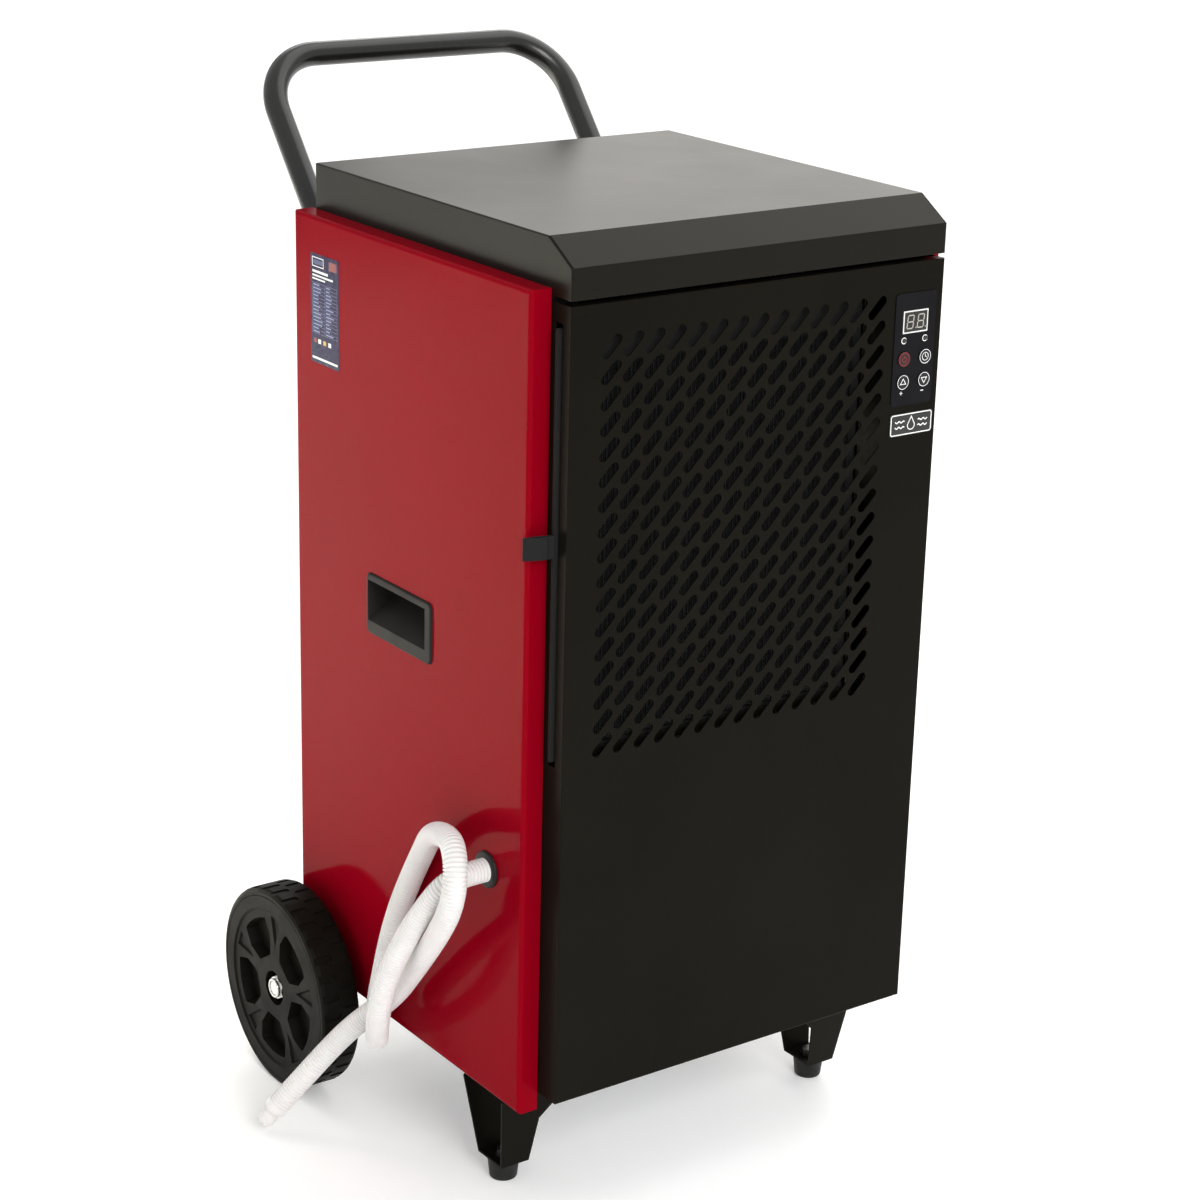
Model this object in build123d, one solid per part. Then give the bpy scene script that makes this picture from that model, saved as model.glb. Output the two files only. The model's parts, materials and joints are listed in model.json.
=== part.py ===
from build123d import *
import math
import os

# Commercial refrigerant dehumidifier on two wheels, in millimetres.
# X runs across the machine (the hose side is -X), Y runs from the front grille to the handle, Z is up.
# Everything is drawn with y = 0 on the front panel's face and z = 0 on the floor, and save() then
# moves it by -MID_Y, so that the origin is on the floor below the middle of the machine.

# ---------------------------------------------------------------- driving dimensions
WIDTH = 436.0              # cabinet width without the side trays
HALF = WIDTH / 2
DEPTH = 448.8              # front panel face to rear panel face
SHEET = 1.2                # folded sheet thickness
CABINET_BOTTOM = 140.0
FRONT_TOP = 924.4
FOLD_R = 1.0               # outer radius of the front panel's folds
LID_BOTTOM = 929.3
LID_TOP = 981.5
LID_BEVEL_RUN = 37.4
LID_BEVEL_DROP = 23.1
RETURN_DEPTH = 46.0        # front panel's side returns

TRAY_PROUD = 21.9          # red side tray, outwards from the cabinet
TRAY_FRONT, TRAY_BACK = 31.0, 454.0
TRAY_BOTTOM, TRAY_TOP = 120.8, 935.9
TRAY_FACE = HALF + TRAY_PROUD
TRAY_FOLD_R = 4.0

SLOT_PITCH = 23.8
SLOT_COLUMNS, SLOT_ROWS = 14, 17
SLOT_LENGTH, SLOT_WIDTH = 27.3, 9.4
SLOT_CENTRE_X, SLOT_CENTRE_Z = -18.5, 693.85
AIR_Z = SLOT_CENTRE_Z      # height of the coils, the fan and the outlet

KEYPAD_X, KEYPAD_Z = 184.2, 839.3
KEYPAD_W, KEYPAD_H = 51.0, 111.0
KEYPAD_PROUD = 1.0
KEY_COLUMNS = (171.8, 198.4)
KEY_ROWS = {"upper": 830.4, "lower": 807.6}
KEY_R = 7.0
KEY_GAP = 0.35
LAMP_Z = 848.5
DISPLAY_Z = 866.4
DISPLAY_W, DISPLAY_H = 31.0, 22.0
BADGE_X, BADGE_Z = 186.4, 764.7

FILTER_Y = 17.5            # middle of the filter's thickness
FILTER_T = 6.0
FILTER_BOTTOM, FILTER_TOP = 491.0, 902.0
FILTER_LEFT, FILTER_RIGHT = -221.0, 130.0
FILTER_SIDE = 9.0          # width of the filter's border at its sides and its lower end
FILTER_BAND = 38.0         # width of the band along its upper end
FILTER_SLOT_GAP = 5.0
TAB_HEIGHTS = (689.5, 711.5)             # lower and upper edge of the filter's pull loop

GROMMET_Y, GROMMET_Z = 90.7, 358.9
HOSE_R = 11.9
HOSE_BORE_R = 9.9
CUFF_R = 8.6

PULL_Y0, PULL_Y1 = 191.0, 312.2
PULL_Z0, PULL_Z1 = 534.8, 598.1
PULL_OPEN_Y0, PULL_OPEN_Y1 = 201.4, 308.0
PULL_OPEN_Z0, PULL_OPEN_Z1 = 548.5, 590.8
PULL_DEPTH = 34.0
BEZEL_T = 2.6

FAN_R = 146.0
SHROUD_R = 152.0
SHROUD_Y = 210.0
FAN_Y = 232.0
DECK_Z = 470.0

WHEEL_R = 110.0
WHEEL_W = 44.0
WHEEL_OUT_X = 298.0
WHEEL_Y = 415.5
HUB_FACE = 1.8             # hub and spokes sit this far inside the tyre's outer face
HUB_POCKET = 16.8          # depth of the nut's recess in the hub
HUB_POCKET_R = 19.0
AXLE_R = 10.0
STUD_R = 8.0
AXLE_SEAT = WHEEL_OUT_X - HUB_FACE - HUB_POCKET + 0.4   # the axle's shoulder, just clear of the recess's floor
WASHER_T = 2.0
COLLAR_R = 14.0            # collar on the axle between a side tray and its wheel
NUT_FLATS_H, NUT_COLLAR_H = 12.5, 3.5
NUT_CORNER_R = 13.8
NUT_COLLAR_R = 10.6
WHEEL_SPOKES = 5
WHEEL_FIRST = 57.0         # angle of the first pocket, from +Y towards +Z
POCKET_R = 77.0
POCKET_DEPTHS = (13.0, 18.0)             # outer and inner side of the wheel
TYRE_LINE_R = 101.5
RIM_STEP_R = 85.5
TREAD_FINGERS = 34

LEG_X = 199.0
LEG_Y = 116.8
LEG_PLATE_Z = 22.3
LEG_T = 2.0
FOOT_R = 16.5

HANDLE_R = 12.7
HANDLE_WALL = 2.0
HANDLE_X = 182.2
HANDLE_FOOT_Z = 640.0
HANDLE_Y = DEPTH + HANDLE_R + 1.6
HANDLE_KNEE_Z = 859.5
HANDLE_TOP_Y, HANDLE_TOP_Z = 628.2, 1060.2
HANDLE_BEND_R = 66.0
CLAMP_HEIGHTS = (675.0, 815.0)
CLAMP_BOLT_X = 22.0        # from the handle's leg to each clamp bolt
SCREW_X = HALF - 8.0
SCREW_HEIGHTS = (170.0, 355.0, 540.0, 725.0, 905.0)
SCREW_HEAD_R, SCREW_R = 4.2, 1.9
BOLT_R = 3.0
GLAND_X, GLAND_Z = 120.0, 215.0

FRONT_MOST = -2.2          # the keys stand this far in front of the panel
BACK_MOST = HANDLE_TOP_Y + HANDLE_R
MID_Y = (FRONT_MOST + BACK_MOST) / 2

# Drain hose: out of the grommet, down, back up behind itself, over its own start and down to the floor.
HOSE_ROUTE = [
    (-239.5, 90.7, 358.9), (-256, 90.7, 358.9), (-271, 91, 358), (-285.7, 95.7, 350), (-293.8, 109.2, 328.6),
    (-299.9, 130.6, 296.3), (-307.9, 148.6, 258.3), (-311.3, 168.4, 211.9), (-302.2, 191.9, 166.3), (-281.7, 227.5, 126.8),
    (-263.7, 256.5, 115.8), (-254, 273, 140), (-254, 261, 180), (-254, 247, 225), (-254, 228, 270),
    (-255, 202, 315), (-259, 176, 350), (-266, 150, 380), (-274, 114, 395), (-287, 76, 400),
    (-296, 58, 374), (-296, 67, 340), (-289.9, 95.5, 304.4), (-281.3, 132.3, 266), (-272.9, 171.5, 226.4),
    (-270.3, 204.5, 189.2), (-271.9, 236.8, 158.5), (-285.9, 257.8, 135.5), (-300, 278, 108), (-320, 295, 75),
    (-341, 310, 43), (-352, 317, 28),
]
CUFF_END = (-361.5, 322, 13.5)

os.makedirs("parts", exist_ok=True)


# ---------------------------------------------------------------- helpers
def save(name, shape):
    export_step(Pos(0, -MID_Y, 0) * shape, "parts/" + name + ".step")


def block(x0, x1, y0, y1, z0, z1):
    """A box from its low and high corners."""
    box = Box(x1 - x0, y1 - y0, z1 - z0)
    return Pos((x0 + x1) / 2, (y0 + y1) / 2, (z0 + z1) / 2) * box


def rod(start, end, radius):
    """A round bar between two points."""
    a, b = Vector(*start), Vector(*end)
    plane = Plane(origin=a, z_dir=b - a)
    return extrude(plane * Circle(radius), (b - a).length)


def group(shapes):
    """Separate solids kept together in one node."""
    return Compound([solid for shape in shapes for solid in shape.solids()])


def joined(first, *others):
    shape = first
    for other in others:
        shape = shape + other
    return shape


def along_y(y0, y1, sketch):
    """Extrude a sketch drawn in X and Z from y0 to y1."""
    plane = Plane(origin=(0, y1, 0), x_dir=(1, 0, 0), z_dir=(0, -1, 0))
    return extrude(plane * sketch, y1 - y0)


def along_x(x0, x1, sketch):
    """Extrude a sketch drawn in Y and Z from x0 to x1."""
    plane = Plane(origin=(x0, 0, 0), x_dir=(0, 1, 0), z_dir=(1, 0, 0))
    return extrude(plane * sketch, x1 - x0)


def along_z(z0, z1, sketch):
    return extrude(Plane.XY.offset(z0) * sketch, z1 - z0)


def outline(*points):
    return make_face(Polyline(*points, close=True))


def tube_along(path, radius, wall=None):
    """A round bar, or a pipe with a wall, swept along a path."""
    plane = Plane(origin=path @ 0, z_dir=path % 0)
    section = plane * Circle(radius)
    if wall:
        section = section - plane * Circle(radius - wall)
    return sweep(section, path=path)


def both_sides(shape):
    return shape, mirror(shape, about=Plane.YZ)


# ---------------------------------------------------------------- cabinet
def front_panel():
    face = Pos(0, (CABINET_BOTTOM + FRONT_TOP) / 2) * Rectangle(WIDTH, FRONT_TOP - CABINET_BOTTOM)
    slots = GridLocations(SLOT_PITCH, SLOT_PITCH, SLOT_COLUMNS, SLOT_ROWS)
    slot = Rot(0, 0, 45) * SlotOverall(SLOT_LENGTH, SLOT_WIDTH)
    face = face - [Pos(SLOT_CENTRE_X, SLOT_CENTRE_Z) * place * slot for place in slots]
    face = face - Pos(KEYPAD_X, KEYPAD_Z) * Rectangle(KEYPAD_W - 8, KEYPAD_H - 8)
    panel = along_y(0, SHEET, face)
    for side in (-1, 1):
        low, high = sorted((side * HALF, side * (HALF - SHEET)))
        panel = panel + block(low, high, 0, RETURN_DEPTH, CABINET_BOTTOM, FRONT_TOP)
    inner = HALF - SHEET
    panel = panel + block(-inner, inner, SHEET, 12, FRONT_TOP - SHEET, FRONT_TOP)
    panel = panel + block(-inner, inner, SHEET, 12, CABINET_BOTTOM, CABINET_BOTTOM + SHEET)
    folds = [edge for edge in panel.edges() if abs(edge.center().Y) < 0.01 and edge.length > WIDTH * 0.9]
    panel = fillet(folds, FOLD_R)
    slot_low, slot_high = FILTER_BOTTOM - FILTER_SLOT_GAP, FILTER_TOP + FILTER_SLOT_GAP
    return panel - block(-HALF - 1, -HALF + 2, FILTER_Y - 5.5, FILTER_Y + 5.5, slot_low, slot_high)


def lid():
    profile = outline((0, LID_BOTTOM), (0, LID_TOP - LID_BEVEL_DROP), (LID_BEVEL_RUN, LID_TOP),
                      (DEPTH, LID_TOP), (DEPTH, LID_BOTTOM))
    outer = along_x(-HALF, HALF, profile)
    soft = [edge for edge in outer.edges() if edge.center().Z > LID_BOTTOM + 1]
    outer = fillet(soft, 1.4)
    top = LID_TOP - SHEET
    hollow = outline((SHEET, LID_BOTTOM + SHEET), (SHEET, LID_TOP - LID_BEVEL_DROP - 0.5),
                     (LID_BEVEL_RUN + 0.5, top), (DEPTH - SHEET, top), (DEPTH - SHEET, LID_BOTTOM + SHEET))
    outer = outer - along_x(-HALF + SHEET, HALF - SHEET, hollow)
    seams = both_sides(bevel_seam())
    return outer - seams - block(-HALF + 14, HALF - 14, 14, DEPTH - 14, LID_BOTTOM - 1, LID_BOTTOM + 2)


def bevel_seam():
    """The open joint between the lid's folded bevel and its left cheek."""
    slope = math.degrees(math.atan2(LID_BEVEL_DROP, LID_BEVEL_RUN))
    length = math.hypot(LID_BEVEL_DROP, LID_BEVEL_RUN)
    middle = Pos(-HALF + 1.7, LID_BEVEL_RUN / 2, LID_TOP - LID_BEVEL_DROP / 2)
    return middle * Rot(slope, 0, 0) * Box(0.8, length - 1, 1.4)


def side_tray(with_drain):
    """The left tray: a shallow folded tray, open towards the cabinet."""
    tray = block(-TRAY_FACE, -HALF, TRAY_FRONT, TRAY_BACK, TRAY_BOTTOM, TRAY_TOP)
    outer_face = tray.faces().sort_by(Axis.X)[0]
    folds = list(outer_face.edges())
    tray = fillet(folds, TRAY_FOLD_R)
    inside = block(-TRAY_FACE + SHEET, -HALF + 1, TRAY_FRONT + SHEET, TRAY_BACK - SHEET,
                   TRAY_BOTTOM + SHEET, TRAY_TOP - SHEET)
    tray = tray - fillet(list(inside.faces().sort_by(Axis.X)[0].edges()), TRAY_FOLD_R - SHEET)
    lip = 9.0
    tray = tray + block(-HALF - SHEET - 0.2, -HALF - 0.2, TRAY_FRONT, TRAY_FRONT + lip, TRAY_BOTTOM, TRAY_TOP)
    tray = tray - pull_cutout(0.3)
    if with_drain:
        hole = Pos(GROMMET_Y, GROMMET_Z) * Circle(15.2)
        tray = tray - along_x(-TRAY_FACE - 1, -HALF + 1, hole)
    return tray


def pull_cutout(gap):
    return block(-TRAY_FACE - 1, -TRAY_FACE + PULL_DEPTH + 4, PULL_OPEN_Y0 - 2 - gap, PULL_OPEN_Y1 + 2 + gap,
                 PULL_OPEN_Z0 - 2 - gap, PULL_OPEN_Z1 + 2 + gap)


def inner_wall(with_drain):
    wall = block(-HALF, -HALF + SHEET, RETURN_DEPTH + 0.4, DEPTH - SHEET - 0.2, 143, LID_BOTTOM - 0.4)
    wall = wall + block(-HALF, -HALF + 14, DEPTH - 2 * SHEET - 0.4, DEPTH - SHEET - 0.2,
                        143, LID_BOTTOM - 0.4)
    wall = wall - pull_cutout(0.6) - rear_holes()
    if with_drain:
        hole = Pos(GROMMET_Y, GROMMET_Z) * Circle(13.5)
        wall = wall - along_x(-HALF - 1, -HALF + 2, hole)
    return wall


def rear_panel():
    face = Pos(0, (143 + FRONT_TOP) / 2) * Rectangle(WIDTH, FRONT_TOP - 143)
    face = face - Pos(0, AIR_Z) * Circle(SHROUD_R)
    face = face - Pos(GLAND_X, GLAND_Z) * Circle(11.2)
    vents = GridLocations(36, 14, 6, 5)
    face = face - [Pos(-70, 230) * place * SlotOverall(30, 5) for place in vents]
    return along_y(DEPTH - SHEET, DEPTH, face) - rear_holes()


def clamp_bolt_places():
    return [(side * HANDLE_X + away, z)
            for side in (-1, 1) for z in CLAMP_HEIGHTS for away in (-CLAMP_BOLT_X, CLAMP_BOLT_X)]


def rear_holes():
    """Clearance holes for the panel's screws and the clamps' bolts."""
    screws = [rod((side * SCREW_X, DEPTH - 12, z), (side * SCREW_X, DEPTH + 1, z), SCREW_R + 0.1)
              for side in (-1, 1) for z in SCREW_HEIGHTS]
    bolts = [rod((x, DEPTH - 12, z), (x, DEPTH + 1, z), BOLT_R + 0.2) for x, z in clamp_bolt_places()]
    return screws + bolts


def base_pan():
    low = CABINET_BOTTOM + SHEET + 0.2
    inside = HALF - SHEET - 0.3
    pan = block(-inside, inside, 13, DEPTH - SHEET - 0.2, low, low + 1.5)
    rims = block(-inside, inside, 48, DEPTH - 6, low, low + 30)
    rims = rims - block(-inside + 1.5, inside - 1.5, 49.5, DEPTH - 7.5, low - 1, low + 31)
    return pan + rims


def mid_deck():
    inside = HALF - SHEET - 0.3
    deck = block(-inside, inside, 30, DEPTH - 6, DECK_Z, DECK_Z + 1.5)
    rim = block(-inside, inside, DEPTH - 7.5, DEPTH - 6, DECK_Z - 14, DECK_Z)
    deck = deck + rim
    holes = [(-165, GROMMET_Y, 12), (-200, 150, 9), (-200, 60, 9), (200, 60, 10), (185, 150, 10)]
    for x, y, r in holes:
        deck = deck - Pos(x, y, DECK_Z) * Cylinder(r, 10)
    return deck


def rear_screws():
    screws = []
    for side in (-1, 1):
        for z in SCREW_HEIGHTS:
            screws.append(pan_screw((side * SCREW_X, DEPTH, z), 2.0, 5.0))
    return group(screws)


def pan_screw(place, head_h, shank):
    """A cross-recess pan-head screw driven in the -Y direction, its head standing on y = place.y."""
    x, y, z = place
    head = rod((x, y, z), (x, y + head_h, z), SCREW_HEAD_R)
    head = fillet(head.edges().sort_by(Axis.Y)[-1], head_h * 0.45)
    body = head + rod((x, y - shank, z), (x, y, z), SCREW_R)
    recess = block(x - 2.0, x + 2.0, y + head_h - 1, y + head_h + 1, z - 0.4, z + 0.4)
    recess = recess + block(x - 0.4, x + 0.4, y + head_h - 1, y + head_h + 1, z - 2.0, z + 2.0)
    return body - recess


# ---------------------------------------------------------------- keypad
def keypad_overlay():
    plate = Pos(KEYPAD_X, KEYPAD_Z) * RectangleRounded(KEYPAD_W, KEYPAD_H, 4)
    plate = plate - Pos(KEYPAD_X, DISPLAY_Z) * Rectangle(DISPLAY_W + 0.4, DISPLAY_H + 0.4)
    for x in KEY_COLUMNS:
        plate = plate - Pos(x, LAMP_Z) * Circle(2.4)
        for z in KEY_ROWS.values():
            plate = plate - Pos(x, z) * Circle(KEY_R + KEY_GAP)
    return along_y(-KEYPAD_PROUD, 0, plate)


def key(x, z):
    """A round key cap with a domed face and a retaining collar behind the overlay."""
    cap = rod((x, 1.6, z), (x, FRONT_MOST, z), KEY_R)
    cap = fillet(cap.edges().sort_by(Axis.Y)[0], 0.5)
    collar = rod((x, 1.2, z), (x, 2.4, z), KEY_R + 1.2)
    return cap + collar


def indicator_lamps():
    lamps = []
    for x in KEY_COLUMNS:
        lamps.append(rod((x, -KEYPAD_PROUD - 0.2, LAMP_Z), (x, 4.4, LAMP_Z), 2.3))
    return group(lamps)


def display_module():
    front = along_y(-KEYPAD_PROUD - 0.3, 6.9, Pos(KEYPAD_X, DISPLAY_Z) * Rectangle(DISPLAY_W, DISPLAY_H))
    window = Pos(KEYPAD_X, DISPLAY_Z) * Rectangle(DISPLAY_W - 4, DISPLAY_H - 4)
    return front - along_y(-KEYPAD_PROUD - 1, -KEYPAD_PROUD + 0.2, window)


def control_board():
    board = along_y(7.0, 8.6, Pos(KEYPAD_X, KEYPAD_Z) * Rectangle(54, 120))
    board = board - [rod((KEYPAD_X + x, 5, KEYPAD_Z + z), (KEYPAD_X + x, 10, KEYPAD_Z + z), 1.7)
                     for x in (-23, 23) for z in (-56, 56)]
    for x in KEY_COLUMNS:
        for z in KEY_ROWS.values():
            board = board + block(x - 3, x + 3, 3.6, 7.0, z - 3, z + 3)
    board = board + block(KEYPAD_X - 18, KEYPAD_X + 18, 8.6, 13, 788, 797)
    return board + block(KEYPAD_X - 6, KEYPAD_X + 6, 8.6, 10.4, 815, 827)


def badge_plate():
    plate = Pos(BADGE_X, BADGE_Z) * RectangleRounded(53.8, 22.6, 2.5)
    return along_y(-0.8, 0, plate)


def rating_label():
    plate = Pos(393.7, 844.3) * RectangleRounded(55, 110.3, 1.5)
    return along_x(-TRAY_FACE - 0.3, -TRAY_FACE, plate)


# ---------------------------------------------------------------- filter
def filter_frame():
    low, high = FILTER_Y - FILTER_T / 2, FILTER_Y + FILTER_T / 2
    frame = block(FILTER_LEFT, FILTER_RIGHT, low, high, FILTER_BOTTOM, FILTER_TOP)
    return frame - block(FILTER_LEFT + FILTER_SIDE, FILTER_RIGHT - FILTER_SIDE, low - 1, high + 1,
                         FILTER_BOTTOM + FILTER_SIDE, FILTER_TOP - FILTER_BAND)


def filter_mesh():
    return block(FILTER_LEFT + FILTER_SIDE, FILTER_RIGHT - FILTER_SIDE, FILTER_Y - 0.6, FILTER_Y + 0.6,
                 FILTER_BOTTOM + FILTER_SIDE, FILTER_TOP - FILTER_BAND)


def filter_pull_tab():
    """A loop of webbing sewn to the filter's edge, its end leaning back towards the side tray."""
    x, y = FILTER_LEFT, FILTER_Y
    loop = outline((x, y - 2.6), (x - 14, y - 0.6), (x - 24, y + 3.4), (x - 28, y + 6.2), (x - 28.6, y + 8.6),
                   (x - 24, y + 9.6), (x - 12, y + 5.4), (x, y + 2.6))
    hollow = outline((x - 8, y + 0.2), (x - 14, y + 1.4), (x - 23, y + 5.0), (x - 26, y + 7.0),
                     (x - 26, y + 7.8), (x - 23, y + 7.8), (x - 12, y + 3.6), (x - 8, y + 2.4))
    return along_z(*TAB_HEIGHTS, loop - hollow)


def filter_rails():
    """Two channels that the filter's frame runs in, screwed behind the front panel."""
    low, high = FILTER_Y - FILTER_T / 2 - 0.8, FILTER_Y + FILTER_T / 2 + 0.8
    rails = []
    for edge, away in ((FILTER_BOTTOM, -1), (FILTER_TOP, 1)):
        shut = sorted((edge + away * 0.8, edge + away * 2.3))
        reach = sorted((edge - away * 7, edge + away * 2.3))
        web = block(-212, 140, low - 1.2, high + 1.2, *shut)
        front = block(-212, 140, low - 1.2, low, *reach)
        back = block(-212, 140, high, high + 1.2, *reach)
        rails.append(joined(web, front, back))
    stop = block(FILTER_RIGHT + 0.6, FILTER_RIGHT + 2.0, low - 1.2, high + 1.2,
                 FILTER_BOTTOM + 0.8, FILTER_TOP - 0.8)
    return joined(rails[0], rails[1], stop)


# ---------------------------------------------------------------- refrigeration
COIL_X0, COIL_X1 = -172.0, 148.0
COIL_Z0, COIL_Z1 = 503.0, 885.0
EVAPORATOR_Y = (40.0, 84.0)
CONDENSER_Y = (118.0, 162.0)
FIN_GAP = 18.0             # depth of the gaps between the fins, from each face
TUBE_R = 4.8
PORT_Z = 557.5             # where the pipes enter both coils, between two return bends
PORT_FRONT_Y, PORT_REAR_Y = 60.0, 150.0
COMPRESSOR_X, COMPRESSOR_Y = 60.0, 262.0
COMPRESSOR_R = 60.0
COMPRESSOR_TOP = 392.0
MOUNT_SPACING = 140.0
ACCUMULATOR_X, ACCUMULATOR_TOP = 150.0, 350.0
DISCHARGE_R, SUCTION_R, LIQUID_R, CAPILLARY_R = 4.8, 6.0, 4.0, 1.6
DISCHARGE_Z, SUCTION_Z, LIQUID_Z, CAPILLARY_Z = 430.0, 402.0, 430.0, 404.0
RISER_X = 200.0            # the suction riser and, mirrored, the two risers on the hose side
DRIER_X0, DRIER_X1 = -134.0, -50.0


def coil_block(y0, y1):
    """A finned coil block: upright gaps between the fins on both faces."""
    fins = 64
    pitch = (COIL_X1 - COIL_X0) / fins
    core = Pos((COIL_X0 + COIL_X1) / 2, (y0 + y1) / 2) * Rectangle(COIL_X1 - COIL_X0, y1 - y0)
    gaps = []
    for index in range(fins):
        x = COIL_X0 + (index + 0.5) * pitch
        for y in (y0, y1):
            gaps.append(Pos(x, y) * Rectangle(pitch * 0.68, 2 * FIN_GAP))
    return along_z(COIL_Z0, COIL_Z1, core - gaps)


def return_bends():
    """The U-bends of both coils, standing out of the end plates."""
    bends = []
    rows = 7
    pitch = (COIL_Z1 - COIL_Z0) / (2 * rows)
    for y0, y1 in (EVAPORATOR_Y, CONDENSER_Y):
        y = (y0 + y1) / 2
        for row in range(rows):
            z = COIL_Z0 + (2 * row + 0.5) * pitch
            for x, side in ((COIL_X0, -1), (COIL_X1, 1)):
                path = FilletPolyline((x, y, z), (x + side * 16, y, z), (x + side * 16, y, z + pitch),
                                      (x, y, z + pitch), radius=12)
                bends.append(tube_along(path, TUBE_R))
    return group(bends)


def drip_tray():
    tray = block(-182, 156, 34, 172, 474, 500) - block(-179.5, 153.5, 36.5, 169.5, 477, 501)
    spigot = rod((-165, GROMMET_Y, 452), (-165, GROMMET_Y, 476), 9.5)
    bore = rod((-165, GROMMET_Y, 450), (-165, GROMMET_Y, 480), 7.0)
    return tray + spigot - bore


def inner_drain_tube():
    path = FilletPolyline((-165, GROMMET_Y, 468), (-165, GROMMET_Y, GROMMET_Z), (-239.5, GROMMET_Y, GROMMET_Z),
                          radius=40)
    return tube_along(path, HOSE_R - 0.1, HOSE_R - 0.1 - HOSE_BORE_R)


def compressor():
    """A welded shell on a square foot. Its thick wall makes up for the motor and the cylinder."""
    x, y = COMPRESSOR_X, COMPRESSOR_Y
    shell = rod((x, y, 176), (x, y, COMPRESSOR_TOP), COMPRESSOR_R)
    shell = fillet(shell.edges(), 18)
    foot = along_z(168, 171, RectangleRounded(MOUNT_SPACING + 40, MOUNT_SPACING + 40, 30))
    foot = Pos(x, y, 0) * (foot - [place * Pos(0, 0, 169.5) * Cylinder(8, 6) for place in mount_grid()])
    skirt = rod((x, y, 171), (x, y, 182), 48)
    terminal = block(x - 30, x + 30, y - 76, y - 56, 290, 345)
    cavity = rod((x, y, 200), (x, y, COMPRESSOR_TOP - 18), 44)
    return joined(shell, skirt, foot, terminal) - cavity


def mount_grid():
    return GridLocations(MOUNT_SPACING, MOUNT_SPACING, 2, 2)


def mount_places():
    return [(COMPRESSOR_X + place.position.X, COMPRESSOR_Y + place.position.Y) for place in mount_grid()]


def compressor_mounts():
    mounts = []
    for x, y in mount_places():
        body = rod((x, y, 142.9), (x, y, 168), 13)
        neck = rod((x, y, 168), (x, y, 171.6), 7.8)
        cap = rod((x, y, 171.6), (x, y, 175), 12)
        bore = rod((x, y, 142), (x, y, 176), 4.2)
        mounts.append(joined(body, neck, cap) - bore)
    return group(mounts)


def compressor_studs():
    studs = []
    for x, y in mount_places():
        stud = rod((x, y, 142.9), (x, y, 184), 4.1)
        nut = extrude(Pos(x, y, 175.2) * RegularPolygon(7.5, 6), 6)
        studs.append(stud + nut)
    return group(studs)


def accumulator():
    x, y = ACCUMULATOR_X, COMPRESSOR_Y
    body = rod((x, y, 206), (x, y, ACCUMULATOR_TOP), 24)
    body = fillet(body.edges(), 10)
    strap = rod((x, y, 280), (x, y, 296), 24.8) + block(x - 30, x, y - 6, y + 6, 280, 296)
    return body + strap


def pipe(points, radius, bend):
    return tube_along(FilletPolyline(*points, radius=bend), radius)


def refrigerant_pipes():
    """Discharge, suction and liquid lines, with the drier and the capillary in the liquid line."""
    x, y = COMPRESSOR_X, COMPRESSOR_Y
    front, rear = PORT_FRONT_Y, PORT_REAR_Y
    discharge = pipe([(x, y, COMPRESSOR_TOP), (x, y, DISCHARGE_Z), (185, y, DISCHARGE_Z),
                      (185, rear, DISCHARGE_Z), (185, rear, PORT_Z), (COIL_X1, rear, PORT_Z)],
                     DISCHARGE_R, 14)
    suction = pipe([(ACCUMULATOR_X, y, ACCUMULATOR_TOP), (ACCUMULATOR_X, y, SUCTION_Z),
                    (RISER_X, y, SUCTION_Z), (RISER_X, front, SUCTION_Z),
                    (RISER_X, front, PORT_Z), (COIL_X1, front, PORT_Z)], SUCTION_R, 16)
    liquid = pipe([(COIL_X0, rear, PORT_Z), (-RISER_X, rear, PORT_Z), (-RISER_X, rear, LIQUID_Z),
                   (DRIER_X0 + 4, rear, LIQUID_Z)], LIQUID_R, 12)
    drier = fillet(rod((DRIER_X0, rear, LIQUID_Z), (DRIER_X1, rear, LIQUID_Z), 11).edges(), 6)
    capillary = pipe([(DRIER_X1 - 4, rear, LIQUID_Z), (-20, rear, LIQUID_Z), (-20, 118, LIQUID_Z),
                      (-20, 118, CAPILLARY_Z), (-RISER_X, 118, CAPILLARY_Z), (-RISER_X, front, CAPILLARY_Z),
                      (-RISER_X, front, PORT_Z), (COIL_X0, front, PORT_Z)], CAPILLARY_R, 8)
    return group([discharge, suction, joined(liquid, drier, capillary)])


def electrical_box():
    box = block(104, 205, 62, 140, 250, 390) - block(106, 203, 64, 141, 252, 388)
    return box + block(104, 205, 140, 142, 250, 390)


def run_capacitor():
    body = rod((-60, 120, 150), (-60, 120, 225), 22)
    body = fillet(body.edges().sort_by(Axis.Z)[-1], 3)
    tabs = [block(-60 + x - 1, -60 + x + 1, 117, 123, 224, 234) for x in (-7, 7)]
    foot = rod((-60, 120, 142.9), (-60, 120, 150), 5)
    return joined(body, foot, *tabs)


# ---------------------------------------------------------------- fan
def fan_shroud():
    middle = (DECK_Z + 2 + 922) / 2
    plate = along_y(SHROUD_Y, SHROUD_Y + SHEET, Pos(0, middle) * Rectangle(432, 920 - DECK_Z))
    ring = along_y(SHROUD_Y, SHROUD_Y + 42, Pos(0, AIR_Z) * Circle(SHROUD_R + SHEET))
    mouth = along_y(SHROUD_Y - 1, SHROUD_Y + 50, Pos(0, AIR_Z) * Circle(SHROUD_R))
    left_notch, right_notch = both_sides(pull_cutout(1.0))
    return plate + ring - mouth - left_notch - right_notch


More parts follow.
